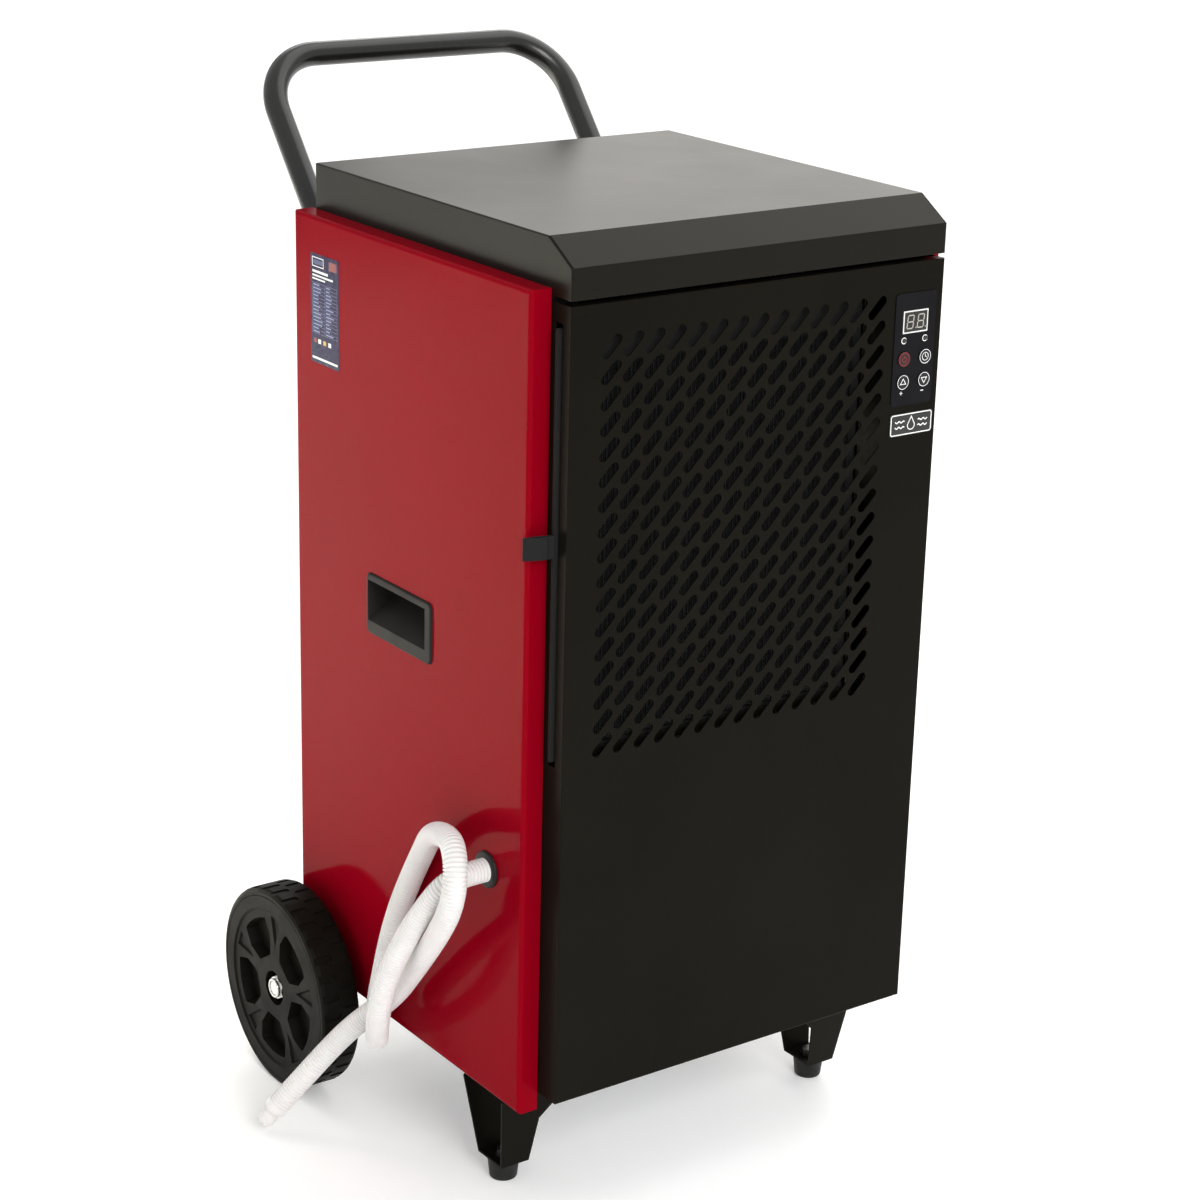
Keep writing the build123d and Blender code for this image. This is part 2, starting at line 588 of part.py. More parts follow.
def fan_rotor():
    """Five pitched blades on a hub, with the motor shaft that carries them."""
    hub = along_y(FAN_Y, FAN_Y + 30, Pos(0, AIR_Z) * Circle(44))
    hub = fillet(hub.edges().sort_by(Axis.Y)[0], 6)
    hollow = along_y(FAN_Y + 4, FAN_Y + 31, Pos(0, AIR_Z) * (Circle(40) - Circle(11)))
    rotor = hub - hollow
    for index in range(5):
        sections = []
        for radius, chord, pitch in ((42.5, 62, 38), (95, 92, 30), (FAN_R - 1, 108, 24)):
            plane = Plane(origin=(0, 0, radius), x_dir=(1, 0, 0), z_dir=(0, 0, 1))
            sections.append(plane * Rot(0, 0, pitch) * RectangleRounded(min(chord, 76), 2.4, 1.1))
        blade = loft(sections)
        spin = Rot(0, index * 72, 0)
        place = Pos(0, FAN_Y + 15, AIR_Z)
        rotor = rotor + place * spin * blade
    limit = along_y(FAN_Y - 12, FAN_Y + 42, Pos(0, AIR_Z) * Circle(FAN_R))
    rotor = rotor & limit
    shaft = rod((0, FAN_Y + 2, AIR_Z), (0, FAN_Y + 62, AIR_Z), 5.0)
    return rotor + shaft


def fan_motor():
    body = rod((0, FAN_Y + 46, AIR_Z), (0, FAN_Y + 128, AIR_Z), 50)
    body = fillet(body.edges(), 6)
    nose = rod((0, FAN_Y + 38, AIR_Z), (0, FAN_Y + 46, AIR_Z), 16)
    bore = rod((0, FAN_Y + 36, AIR_Z), (0, FAN_Y + 64, AIR_Z), 5.06)
    cooling = []
    for index in range(24):
        angle = math.radians(index * 15)
        x, z = 50 * math.cos(angle), AIR_Z + 50 * math.sin(angle)
        cooling.append(rod((x, FAN_Y + 60, z), (x, FAN_Y + 114, z), 1.6))
    return joined(body, nose) - bore - cooling


def motor_bracket():
    """A ring round the motor's nose end and four arms that reach the shroud plate."""
    y = FAN_Y + 42
    ring = along_y(y, y + 3, Pos(0, AIR_Z) * (Circle(44) - Circle(16.3)))
    bracket = ring
    for angle in (45, 135, 225, 315):
        c, s = math.cos(math.radians(angle)), math.sin(math.radians(angle))
        arm = Pos(0, 0) * Rot(0, 0, angle) * Pos(105, 0) * Rectangle(140, 14)
        bracket = bracket + along_y(y, y + 3, Pos(0, AIR_Z) * arm)
        x, z = 170 * c, AIR_Z + 170 * s
        bracket = bracket + rod((x, SHROUD_Y + SHEET, z), (x, y + 3, z), 5)
    return bracket


def fan_guard():
    """A wire guard over the air outlet: rings on eight spokes, screwed on by four eyes."""
    y = DEPTH + 3.4
    guard = rod((0, y - 1.2, AIR_Z), (0, y + 2.2, AIR_Z), 22)
    for radius in range(36, 160, 14):
        ring = Pos(0, y, AIR_Z) * Rot(90, 0, 0) * Torus(radius, 1.3)
        guard = guard + ring
    for index in range(8):
        angle = math.radians(index * 45 + 22.5)
        c, s = math.cos(angle), math.sin(angle)
        guard = guard + rod((18 * c, y, AIR_Z + 18 * s), (162 * c, y, AIR_Z + 162 * s), 1.8)
    for index in range(4):
        angle = math.radians(index * 90 + 22.5)
        x, z = 164 * math.cos(angle), AIR_Z + 164 * math.sin(angle)
        eye = rod((x, DEPTH, z), (x, y + 1.6, z), 6.5) - rod((x, DEPTH - 1, z), (x, y + 3, z), 2.3)
        guard = guard + eye
    return guard


def cord_gland():
    x, z = GLAND_X, GLAND_Z
    thread = rod((x, DEPTH - 12, z), (x, DEPTH, z), 11.0)
    flange = rod((x, DEPTH, z), (x, DEPTH + 4, z), 15)
    nut = extrude(Plane(origin=(x, DEPTH + 4, z), z_dir=(0, 1, 0)) * RegularPolygon(13.5, 6), 9)
    dome = fillet(rod((x, DEPTH + 13, z), (x, DEPTH + 20, z), 11).edges().sort_by(Axis.Y)[-1], 4)
    bore = rod((x, DEPTH - 13, z), (x, DEPTH + 21, z), 4.6)
    return joined(thread, flange, nut, dome) - bore


# ---------------------------------------------------------------- trim on the side trays
def drain_grommet():
    flange = rod((-TRAY_FACE, GROMMET_Y, GROMMET_Z), (-TRAY_FACE - 3.2, GROMMET_Y, GROMMET_Z), 18.5)
    flange = fillet(flange.edges().sort_by(Axis.X)[0], 2.2)
    neck = rod((-TRAY_FACE, GROMMET_Y, GROMMET_Z), (-TRAY_FACE + SHEET, GROMMET_Y, GROMMET_Z), 15.0)
    rear = rod((-TRAY_FACE + SHEET, GROMMET_Y, GROMMET_Z), (-TRAY_FACE + 5, GROMMET_Y, GROMMET_Z), 17.5)
    bore = rod((-TRAY_FACE - 9, GROMMET_Y, GROMMET_Z), (-TRAY_FACE + 9, GROMMET_Y, GROMMET_Z), HOSE_R)
    return joined(flange, neck, rear) - bore


def pull_recess():
    """A moulded finger pull: a bezel on the tray's face and a pocket whose floor rises inwards."""
    middle = Pos((PULL_Y0 + PULL_Y1) / 2, (PULL_Z0 + PULL_Z1) / 2)
    rim = middle * RectangleRounded(PULL_Y1 - PULL_Y0, PULL_Z1 - PULL_Z0, 7)
    bezel = along_x(-TRAY_FACE - BEZEL_T, -TRAY_FACE, rim)
    bezel = fillet(bezel.faces().sort_by(Axis.X)[0].edges(), 2.3)
    shell = block(-TRAY_FACE, -TRAY_FACE + PULL_DEPTH + 2, PULL_OPEN_Y0 - 2, PULL_OPEN_Y1 + 2,
                  PULL_OPEN_Z0 - 2, PULL_OPEN_Z1 + 2)
    inner = -TRAY_FACE + PULL_DEPTH
    pocket = make_face(Polyline((-TRAY_FACE - 4, PULL_OPEN_Z0), (-TRAY_FACE - BEZEL_T, PULL_OPEN_Z0),
                                (inner, PULL_OPEN_Z0 + 26), (inner, PULL_OPEN_Z1),
                                (-TRAY_FACE - 4, PULL_OPEN_Z1), close=True))
    plane = Plane(origin=(0, PULL_OPEN_Y1, 0), x_dir=(1, 0, 0), z_dir=(0, -1, 0))
    pocket = extrude(plane * pocket, PULL_OPEN_Y1 - PULL_OPEN_Y0)
    return bezel + shell - pocket


# ---------------------------------------------------------------- legs and wheels
def front_leg():
    """The left leg: a plate folded into a U, its two webs leaning outwards, open at both sides."""
    half_x, half_y = 16.6, 21.3
    lean = math.radians(10)
    rise = (141.0 - LEG_PLATE_Z) / math.cos(lean)
    outer = math.tan(math.radians(6.6))
    flare = 84.0
    web = outline((-half_x, 0), (-half_x - flare * outer, flare), (-half_x - 1, flare + 8),
                  (-half_x - 1, rise), (half_x + 26, rise), (half_x + 26, 71),
                  (half_x + 51 * outer, 51), (half_x, 0))
    plate = block(LEG_X * -1 - half_x, LEG_X * -1 + half_x, LEG_Y - half_y, LEG_Y + half_y,
                  LEG_PLATE_Z, LEG_PLATE_Z + LEG_T)
    hole = rod((-LEG_X, LEG_Y, LEG_PLATE_Z - 1), (-LEG_X, LEG_Y, LEG_PLATE_Z + 5), 4.2)
    leg = plate - hole
    for side in (-1, 1):
        up = Vector(0, side * math.sin(lean), math.cos(lean))
        out = Vector(0, side * math.cos(lean), -math.sin(lean))
        plane = Plane(origin=(-LEG_X, LEG_Y + side * half_y, LEG_PLATE_Z), x_dir=(1, 0, 0),
                      z_dir=Vector(1, 0, 0).cross(up))
        sheet = extrude(plane * web, LEG_T, dir=out * -1)
        leg = leg + sheet
    trim = block(-HALF - 20, -130, 0, 300, CABINET_BOTTOM + SHEET + 0.2, 200)
    floor_trim = block(-HALF - 20, -130, 0, 300, 0, LEG_PLATE_Z)
    return leg - trim - floor_trim


def rubber_feet():
    feet = []
    for side in (-1, 1):
        foot = Pos(side * LEG_X, LEG_Y, LEG_PLATE_Z / 2) * Cone(FOOT_R - 2.5, FOOT_R, LEG_PLATE_Z)
        foot = fillet(foot.edges().sort_by(Axis.Z)[0], 3.0)
        bore = rod((side * LEG_X, LEG_Y, 8), (side * LEG_X, LEG_Y, LEG_PLATE_Z + 1), 4.0)
        feet.append(foot - bore)
    return group(feet)


def foot_bolts():
    bolts = []
    for side in (-1, 1):
        x = side * LEG_X
        top = LEG_PLATE_Z + LEG_T
        shank = rod((x, LEG_Y, 9), (x, LEG_Y, top), 3.95)
        washer = rod((x, LEG_Y, top), (x, LEG_Y, top + 1.4), 8)
        head = extrude(Pos(x, LEG_Y, top + 1.4) * RegularPolygon(7.3, 6), 5.2)
        bolts.append(joined(shank, washer, head))
    return group(bolts)


def wheel():
    """The left wheel, with its outer face towards -X: rim and tyre moulded in one."""
    face = -WHEEL_OUT_X
    back = face + WHEEL_W
    hub_face = face + HUB_FACE
    hub_back = back - HUB_FACE
    profile = make_face(Polyline(
        (face + 5, WHEEL_R), (face + 1.5, WHEEL_R - 1.3), (face, WHEEL_R - 4.5),
        (face, TYRE_LINE_R + 0.5), (face + 0.6, TYRE_LINE_R), (face, TYRE_LINE_R - 0.5),
        (face, RIM_STEP_R + 2.4), (hub_face, RIM_STEP_R), (hub_face, 0.01), (hub_back, 0.01),
        (hub_back, RIM_STEP_R), (back, RIM_STEP_R + 2.4), (back, WHEEL_R - 4.5),
        (back - 1.5, WHEEL_R - 1.3), (back - 5, WHEEL_R), close=True))
    body = revolve(Plane.XY * profile, Axis.X)
    pocket = outline((34.5, 13.2), (52.5, 25.6), (95, 25.6), (95, -25.6), (52.5, -25.6), (34.5, -13.2))
    pocket = fillet((pocket & Circle(POCKET_R)).vertices(), 4.0)
    dimple = outline((48, 0), (82, 10), (82, -10))
    outer_depth, inner_depth = POCKET_DEPTHS
    step = 360 / WHEEL_SPOKES
    for index in range(WHEEL_SPOKES):
        turned = Rot(0, 0, WHEEL_FIRST + step * index) * pocket
        outer_plane = Plane(origin=(hub_face, 0, 0), x_dir=(0, 1, 0), z_dir=(1, 0, 0))
        body = body - extrude(outer_plane * turned, outer_depth, taper=9)
        body = body - along_x(hub_back - inner_depth, hub_back + 0.01, turned)
        on_spoke = Rot(0, 0, WHEEL_FIRST + step * (index + 0.5)) * dimple
        body = body - extrude(outer_plane * on_spoke, 2.2, taper=38)
    nut_recess = rod((hub_face - 1, 0, 0), (hub_face + HUB_POCKET, 0, 0), HUB_POCKET_R)
    bore = rod((face - 1, 0, 0), (back + 1, 0, 0), AXLE_R + 0.06)
    body = body - nut_recess - bore
    for index in range(TREAD_FINGERS):
        turn = 360 / TREAD_FINGERS
        body = body - Rot(index * turn, 0, 0) * tread_finger(face, 1)
        body = body - Rot((index + 0.5) * turn, 0, 0) * tread_finger(back, -1)
    return Pos(0, WHEEL_Y, WHEEL_R) * body


def tread_finger(edge, way):
    """A shallow round-ended groove that runs in from one shoulder of the tyre."""
    width, reach = 8.0, 17.0
    run = Pos(edge + way * reach / 2, 0, WHEEL_R) * Box(reach, width, 3.0)
    end = Pos(edge + way * reach, 0, WHEEL_R) * Cylinder(width / 2, 3.0)
    return run + end


def axle_rod(x0, x1, radius):
    """A round bar on the wheels' axis, between two distances from the middle, on both sides."""
    bar = rod((x0, WHEEL_Y, WHEEL_R), (x1, WHEEL_Y, WHEEL_R), radius)
    return both_sides(bar)


def axle():
    """A straight bar through both wheels, stepped down to a thread at each end."""
    bar = rod((-AXLE_SEAT, WHEEL_Y, WHEEL_R), (AXLE_SEAT, WHEEL_Y, WHEEL_R), AXLE_R)
    tip = AXLE_SEAT + WASHER_T + NUT_FLATS_H + NUT_COLLAR_H - 0.9
    end = rod((AXLE_SEAT, WHEEL_Y, WHEEL_R), (tip, WHEEL_Y, WHEEL_R), STUD_R)
    end = chamfer(end.edges().sort_by(Axis.X)[-1], 1.0)
    left_end, right_end = both_sides(end)
    return joined(bar, left_end, right_end)


def axle_washers():
    """A washer on each step of the axle, and a collar behind each wheel, outside the side tray."""
    inner_face = WHEEL_OUT_X - WHEEL_W + HUB_FACE
    washers = axle_rod(AXLE_SEAT, AXLE_SEAT + WASHER_T, 14.5)
    washer_holes = axle_rod(AXLE_SEAT - 1, AXLE_SEAT + 3, STUD_R)
    collars = axle_rod(TRAY_FACE + 1.0, inner_face - 0.4, COLLAR_R)
    collar_holes = axle_rod(TRAY_FACE, inner_face, AXLE_R)
    rings = [outer - inner for outer, inner in zip(washers, washer_holes)]
    rings.extend(outer - inner for outer, inner in zip(collars, collar_holes))
    return group(rings)


def axle_nuts():
    """A lock nut with a round collar on each threaded end."""
    start = AXLE_SEAT + WASHER_T
    plane = Plane(origin=(start, WHEEL_Y, WHEEL_R), z_dir=(1, 0, 0))
    flats = extrude(plane * RegularPolygon(NUT_CORNER_R, 6), NUT_FLATS_H)
    rounding = rod((start, WHEEL_Y, WHEEL_R), (start + NUT_FLATS_H, WHEEL_Y, WHEEL_R), NUT_CORNER_R - 0.3)
    rounding = chamfer(rounding.edges().sort_by(Axis.X)[-1], 1.6)
    collar = rod((start + NUT_FLATS_H, WHEEL_Y, WHEEL_R),
                 (start + NUT_FLATS_H + NUT_COLLAR_H, WHEEL_Y, WHEEL_R), NUT_COLLAR_R)
    collar = fillet(collar.edges().sort_by(Axis.X)[-1], 1.2)
    bore = rod((start - 1, WHEEL_Y, WHEEL_R), (start + 20, WHEEL_Y, WHEEL_R), STUD_R)
    return group(both_sides((flats & rounding) + collar - bore))


def axle_brackets():
    """Two folded brackets that hang the axle below the base pan."""
    brackets = []
    top = CABINET_BOTTOM + SHEET + 0.2
    for side in (-1, 1):
        x0, x1 = sorted((side * 208, side * 212))
        ear = outline((WHEEL_Y - 46, top), (WHEEL_Y + 31, top), (WHEEL_Y + 17, WHEEL_R - 10),
                      (WHEEL_Y + 7, WHEEL_R - 17), (WHEEL_Y - 7, WHEEL_R - 17), (WHEEL_Y - 17, WHEEL_R - 10))
        ear = along_x(x0, x1, ear)
        f0, f1 = sorted((side * 180, side * 212))
        flange = block(f0, f1, WHEEL_Y - 46, WHEEL_Y + 31, top - 3, top)
        hole = rod((side * 200, WHEEL_Y, WHEEL_R), (side * 220, WHEEL_Y, WHEEL_R), AXLE_R)
        brackets.append(ear + flange - hole)
    return group(brackets)


# ---------------------------------------------------------------- handle
def handle_tube():
    points = [(-HANDLE_X, HANDLE_Y, HANDLE_FOOT_Z), (-HANDLE_X, HANDLE_Y, HANDLE_KNEE_Z),
              (-HANDLE_X, HANDLE_TOP_Y, HANDLE_TOP_Z), (HANDLE_X, HANDLE_TOP_Y, HANDLE_TOP_Z),
              (HANDLE_X, HANDLE_Y, HANDLE_KNEE_Z), (HANDLE_X, HANDLE_Y, HANDLE_FOOT_Z)]
    path = FilletPolyline(*points, radius=[70, HANDLE_BEND_R, HANDLE_BEND_R, 70])
    return tube_along(path, HANDLE_R, HANDLE_WALL)


def handle_clamps():
    """Saddles that hold the handle's legs against the rear panel."""
    clamps = []
    for side in (-1, 1):
        for z in CLAMP_HEIGHTS:
            x = side * HANDLE_X
            arch = rod((x, HANDLE_Y, z - 11), (x, HANDLE_Y, z + 11), HANDLE_R + 2.2)
            arch = arch + block(x - HANDLE_R - 2.2, x + HANDLE_R + 2.2, DEPTH, HANDLE_Y, z - 11, z + 11)
            feet = block(x - 29, x + 29, DEPTH, DEPTH + 2.2, z - 11, z + 11)
            hollow = rod((x, HANDLE_Y, z - 12), (x, HANDLE_Y, z + 12), HANDLE_R)
            slot = block(x - HANDLE_R, x + HANDLE_R, DEPTH - 1, HANDLE_Y, z - 12, z + 12)
            holes = [rod((x + away, DEPTH - 1, z), (x + away, DEPTH + 3, z), BOLT_R + 0.2)
                     for away in (-CLAMP_BOLT_X, CLAMP_BOLT_X)]
            clamps.append(arch + feet - hollow - slot - holes)
    return group(clamps)


def handle_bolts():
    bolts = []
    y = DEPTH + 2.2
    for x, z in clamp_bolt_places():
        head = extrude(Plane(origin=(x, y, z), z_dir=(0, 1, 0)) * RegularPolygon(5.8, 6), 4)
        bolts.append(head + rod((x, y - 10, z), (x, y, z), BOLT_R))
    return group(bolts)


# ---------------------------------------------------------------- drain hose
def hose_path():
    """Straight runs joined by tangent arcs as large as the runs allow."""
    points = [Vector(*point) for point in HOSE_ROUTE]
    radii = []
    for before, here, after in zip(points, points[1:], points[2:]):
        arriving, leaving = here - before, after - here
        turn = math.radians(arriving.get_angle(leaving))
        shorter = min(arriving.length, leaving.length)
        radii.append(0.45 * shorter / math.tan(turn / 2))
    return FilletPolyline(*points, radius=radii)


def drain_hose():
    return tube_along(hose_path(), HOSE_R, HOSE_R - HOSE_BORE_R)


def hose_cuff():
    """The narrower moulded end, with three ribs."""
    start, end = Vector(*HOSE_ROUTE[-1]), Vector(*CUFF_END)
    run = (end - start).normalized()
    body = rod(start, end, CUFF_R)
    for step in (3.5, 8.0, 12.5):
        middle = start + run * step
        body = body + rod(middle, middle + run * 2.0, CUFF_R + 1.0)
    return body - rod(start - run, end + run, CUFF_R - 1.8)


# ---------------------------------------------------------------- the pieces, one file each
save("front_panel", front_panel())
save("top_cover", lid())
save("left_side_tray", side_tray(True))
save("right_side_tray", mirror(side_tray(False), about=Plane.YZ))
save("left_inner_wall", inner_wall(True))
save("right_inner_wall", mirror(inner_wall(False), about=Plane.YZ))
save("rear_panel", rear_panel())
save("base_pan", base_pan())
save("mid_deck", mid_deck())
save("rear_panel_screws", rear_screws())

save("keypad_overlay", keypad_overlay())
save("power_key", key(KEY_COLUMNS[0], KEY_ROWS["upper"]))
save("timer_key", key(KEY_COLUMNS[1], KEY_ROWS["upper"]))
save("up_key", key(KEY_COLUMNS[0], KEY_ROWS["lower"]))
save("down_key", key(KEY_COLUMNS[1], KEY_ROWS["lower"]))
save("indicator_lamps", indicator_lamps())
save("display_module", display_module())
save("control_board", control_board())
save("badge_plate", badge_plate())
save("rating_label", rating_label())

save("filter_frame", filter_frame())
save("filter_mesh", filter_mesh())
save("filter_pull_tab", filter_pull_tab())
save("filter_rails", filter_rails())

save("evaporator_fins", coil_block(*EVAPORATOR_Y))
save("condenser_fins", coil_block(*CONDENSER_Y))
save("coil_return_bends", return_bends())
save("drip_tray", drip_tray())
save("inner_drain_tube", inner_drain_tube())
save("compressor", compressor())
save("compressor_mounts", compressor_mounts())
save("compressor_studs", compressor_studs())
save("suction_accumulator", accumulator())
save("refrigerant_pipes", refrigerant_pipes())
save("electrical_box", electrical_box())
save("run_capacitor", run_capacitor())

save("fan_shroud", fan_shroud())
save("fan_rotor", fan_rotor())
save("fan_motor", fan_motor())
save("motor_bracket", motor_bracket())
save("fan_guard", fan_guard())
save("cord_gland", cord_gland())

left_pull, right_pull = both_sides(pull_recess())
save("drain_grommet", drain_grommet())
save("left_pull_recess", left_pull)
save("right_pull_recess", right_pull)

left_leg, right_leg = both_sides(front_leg())
save("left_front_leg", left_leg)
save("right_front_leg", right_leg)
save("rubber_feet", rubber_feet())
save("foot_bolts", foot_bolts())

left_wheel, right_wheel = both_sides(wheel())
save("left_wheel", left_wheel)
save("right_wheel", right_wheel)
save("axle", axle())
save("axle_washers", axle_washers())
save("axle_nuts", axle_nuts())
save("axle_brackets", axle_brackets())

save("handle_tube", handle_tube())
save("handle_clamps", handle_clamps())
save("handle_bolts", handle_bolts())

save("drain_hose", drain_hose())
save("hose_cuff", hose_cuff())
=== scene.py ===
"""Looks for a commercial dehumidifier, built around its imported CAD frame. All lengths are in metres."""
import json
import math
import random

import bpy
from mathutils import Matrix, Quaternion, Vector

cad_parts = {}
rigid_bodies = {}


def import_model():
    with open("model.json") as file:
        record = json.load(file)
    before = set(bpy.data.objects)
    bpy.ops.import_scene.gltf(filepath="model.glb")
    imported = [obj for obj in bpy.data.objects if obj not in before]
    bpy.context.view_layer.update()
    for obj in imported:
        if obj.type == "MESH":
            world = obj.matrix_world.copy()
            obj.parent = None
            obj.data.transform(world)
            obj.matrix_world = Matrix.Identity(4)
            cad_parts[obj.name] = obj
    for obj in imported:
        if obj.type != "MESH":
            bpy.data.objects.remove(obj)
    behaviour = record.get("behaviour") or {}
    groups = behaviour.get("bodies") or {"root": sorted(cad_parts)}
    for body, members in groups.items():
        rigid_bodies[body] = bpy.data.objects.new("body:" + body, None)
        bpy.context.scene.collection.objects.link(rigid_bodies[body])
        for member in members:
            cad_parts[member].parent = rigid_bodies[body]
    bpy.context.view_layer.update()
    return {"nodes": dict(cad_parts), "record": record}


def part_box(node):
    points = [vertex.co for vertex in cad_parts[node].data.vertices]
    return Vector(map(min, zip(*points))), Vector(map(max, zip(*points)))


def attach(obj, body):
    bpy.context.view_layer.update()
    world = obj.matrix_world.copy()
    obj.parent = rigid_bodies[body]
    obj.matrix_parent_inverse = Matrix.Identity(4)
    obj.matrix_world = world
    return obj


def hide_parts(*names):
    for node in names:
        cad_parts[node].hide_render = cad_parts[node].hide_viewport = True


for leftover in list(bpy.data.objects):
    bpy.data.objects.remove(leftover)

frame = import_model()
nodes = frame["nodes"]
random.seed(7)

MM = 0.001
FRONT_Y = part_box("front_panel")[0].y
scene = bpy.context.scene


def at(x, y, z):
    """A point from millimetres across, behind the front panel and above the floor."""
    return Vector((x * MM, FRONT_Y + y * MM, z * MM))


# ---------------------------------------------------------------- camera
CAMERA_PLACE = (-1.59004, -2.28571, 1.46949)
VIEW_BACK = Vector((-0.55190, -0.76940, 0.32161))
CAMERA_ROLL = 1.4246
camera_data = bpy.data.cameras.new("camera")
camera_data.lens = 83.93
camera_data.sensor_width = 36.0
camera_data.clip_end = 200.0
camera = bpy.data.objects.new("camera", camera_data)
camera.location = CAMERA_PLACE
roll = Quaternion((0, 0, 1), math.radians(CAMERA_ROLL))
camera.rotation_mode = "QUATERNION"
camera.rotation_quaternion = (-VIEW_BACK).to_track_quat("-Z", "Y") @ roll
scene.collection.objects.link(camera)
scene.camera = camera
scene.view_settings.view_transform = "Standard"


# ---------------------------------------------------------------- materials
class Tree:
    """A node material that reads the piece's own coordinates."""

    def __init__(self, name):
        self.material = bpy.data.materials.new(name)
        self.material.use_nodes = True
        self.nodes = self.material.node_tree.nodes
        self.links = self.material.node_tree.links
        self.shader = self.nodes["Principled BSDF"]
        self.coords = self.nodes.new("ShaderNodeTexCoord").outputs["Object"]

    def node(self, kind, inputs=(), **settings):
        """A new node with its settings, and its inputs set or linked."""
        made = self.nodes.new("ShaderNode" + kind)
        for key, value in settings.items():
            setattr(made, key, value)
        for key, value in dict(inputs).items():
            if isinstance(value, bpy.types.NodeSocket):
                self.links.new(value, made.inputs[key])
            else:
                made.inputs[key].default_value = value
        return made

    def noise(self, scale, detail=3.0, stretch=None):
        coords = self.coords
        if stretch:
            coords = self.node("Mapping", {"Vector": coords, "Scale": stretch}).outputs[0]
        return self.node("TexNoise", {"Vector": coords, "Scale": scale, "Detail": detail}).outputs["Fac"]

    def cell_colours(self, scale):
        return self.node("TexVoronoi", {"Vector": self.coords, "Scale": scale}).outputs["Color"]

    def wave(self, scale, axis, distortion):
        inputs = {"Vector": self.coords, "Scale": scale, "Distortion": distortion}
        return self.node("TexWave", inputs, bands_direction=axis).outputs["Fac"]

    def math(self, operation, a, b):
        return self.node("Math", {0: a, 1: b}, operation=operation).outputs[0]

    def spread(self, value, low, high, start=0.3, end=0.7):
        """Maps a value between start and end onto low to high."""
        limits = {"Value": value, "From Min": start, "From Max": end, "To Min": low, "To Max": high}
        return self.node("MapRange", limits).outputs[0]

    def colours(self, value, stops):
        ramp = self.node("ValToRGB", {"Fac": value})
        elements = ramp.color_ramp.elements
        while len(elements) < len(stops):
            elements.new(0.5)
        for element, (place, colour) in zip(elements, stops):
            element.position = place
            element.color = (*colour, 1.0)
        return ramp.outputs["Color"]

    def bump(self, *layers):
        """Bump layers of (height, strength, distance), one over the other."""
        normal = None
        for height, strength, distance in layers:
            inputs = {"Height": height, "Strength": strength, "Distance": distance}
            if normal:
                inputs["Normal"] = normal
            normal = self.node("Bump", inputs).outputs["Normal"]
        self.links.new(normal, self.shader.inputs["Normal"])

    def set(self, **values):
        """Sets or links the shader's inputs, named with _ for a space."""
        for key, value in values.items():
            socket = self.shader.inputs[key.replace("_", " ")]
            if isinstance(value, bpy.types.NodeSocket):
                self.links.new(value, socket)
            else:
                socket.default_value = value


def shade(colour, amount):
    """A colour made darker or lighter by a factor."""
    return tuple(max(0.0, channel * amount) for channel in colour)


SWELL_SCALE = 7.0


def surface(name, colour, contrast=0.12, patches=9.0, rough=(0.3, 0.4), grain=900.0, grain_height=0.00004,
            grain_strength=0.35, swell=0.0, **uniform):
    """A moulded or painted surface: soft colour patches, smudged gloss, fine grain and a slow swell."""
    tree = Tree(name)
    speckle = tree.math("MULTIPLY", tree.noise(grain * 0.4, 2.0), 0.25)
    mottle = tree.math("ADD", tree.noise(patches, 5.0), speckle)
    dark, light = shade(colour, 1 - contrast), shade(colour, 1 + contrast)
    tree.set(Base_Color=tree.colours(mottle, [(0.45, dark), (0.8, light)]))
    haze = tree.math("MULTIPLY", tree.noise(grain, 1.0), 0.3)
    smudges = tree.math("ADD", tree.noise(patches * 2.3, 6.0), haze)
    tree.set(Roughness=tree.spread(smudges, rough[0], rough[1], 0.45, 0.85), **uniform)
    layers = [(tree.noise(grain, 2.0), grain_strength, grain_height)]
    if swell:
        layers.insert(0, (tree.noise(SWELL_SCALE, 1.0), 0.5, swell))
    tree.bump(*layers)
    return tree.material


def metal(name, colour, rough, scratches=(6.0, 6.0, 260.0), tarnish=None):
    """Bare metal with drawn scratches and a light tarnish."""
    tree = Tree(name)
    lines = tree.noise(14.0, 4.0, stretch=scratches)
    stain = tree.colours(tree.noise(38.0, 5.0), [(0.35, tarnish or shade(colour, 0.75)), (0.6, colour)])
    tree.set(Base_Color=stain, Metallic=1.0, Roughness=tree.spread(lines, rough[0], rough[1]))
    tree.bump((lines, 0.15, 0.00003), (tree.noise(500.0, 2.0), 0.15, 0.00002))
    return tree.material


def galvanised(name, dark, light, spangle=90.0):
    """Zinc with spangles, each of its own grey and gloss."""
    tree = Tree(name)
    value = tree.node("SeparateColor", {"Color": tree.cell_colours(spangle)}).outputs[0]
    tree.set(Base_Color=tree.colours(value, [(0.0, dark), (1.0, light)]), Metallic=1.0,
             Roughness=tree.spread(value, 0.34, 0.55, 0.0, 1.0))
    tree.bump((tree.noise(240.0, 3.0), 0.2, 0.00003))
    return tree.material


def woven(name, dark, light, pitch, height, sheen=0.03):
    """Cloth with warp and weft of the given pitch."""
    tree = Tree(name)
    bands = 0.5 / pitch
    warp, weft = tree.wave(bands, "Z", 0.4), tree.wave(bands, "Y", 0.4)
    weave = tree.math("MULTIPLY", warp, weft)
    fuzz = tree.math("ADD", weave, tree.math("MULTIPLY", tree.noise(1600.0, 2.0), 0.5))
    tree.set(Base_Color=tree.colours(fuzz, [(0.2, dark), (0.9, light)]),
             Roughness=tree.spread(fuzz, 0.7, 0.9, 0.0, 1.2), Sheen_Weight=sheen, Specular_IOR_Level=0.2)
    tree.bump((weave, 0.7, height), (tree.noise(2200.0, 2.0), 0.3, 0.00004))
    return tree.material


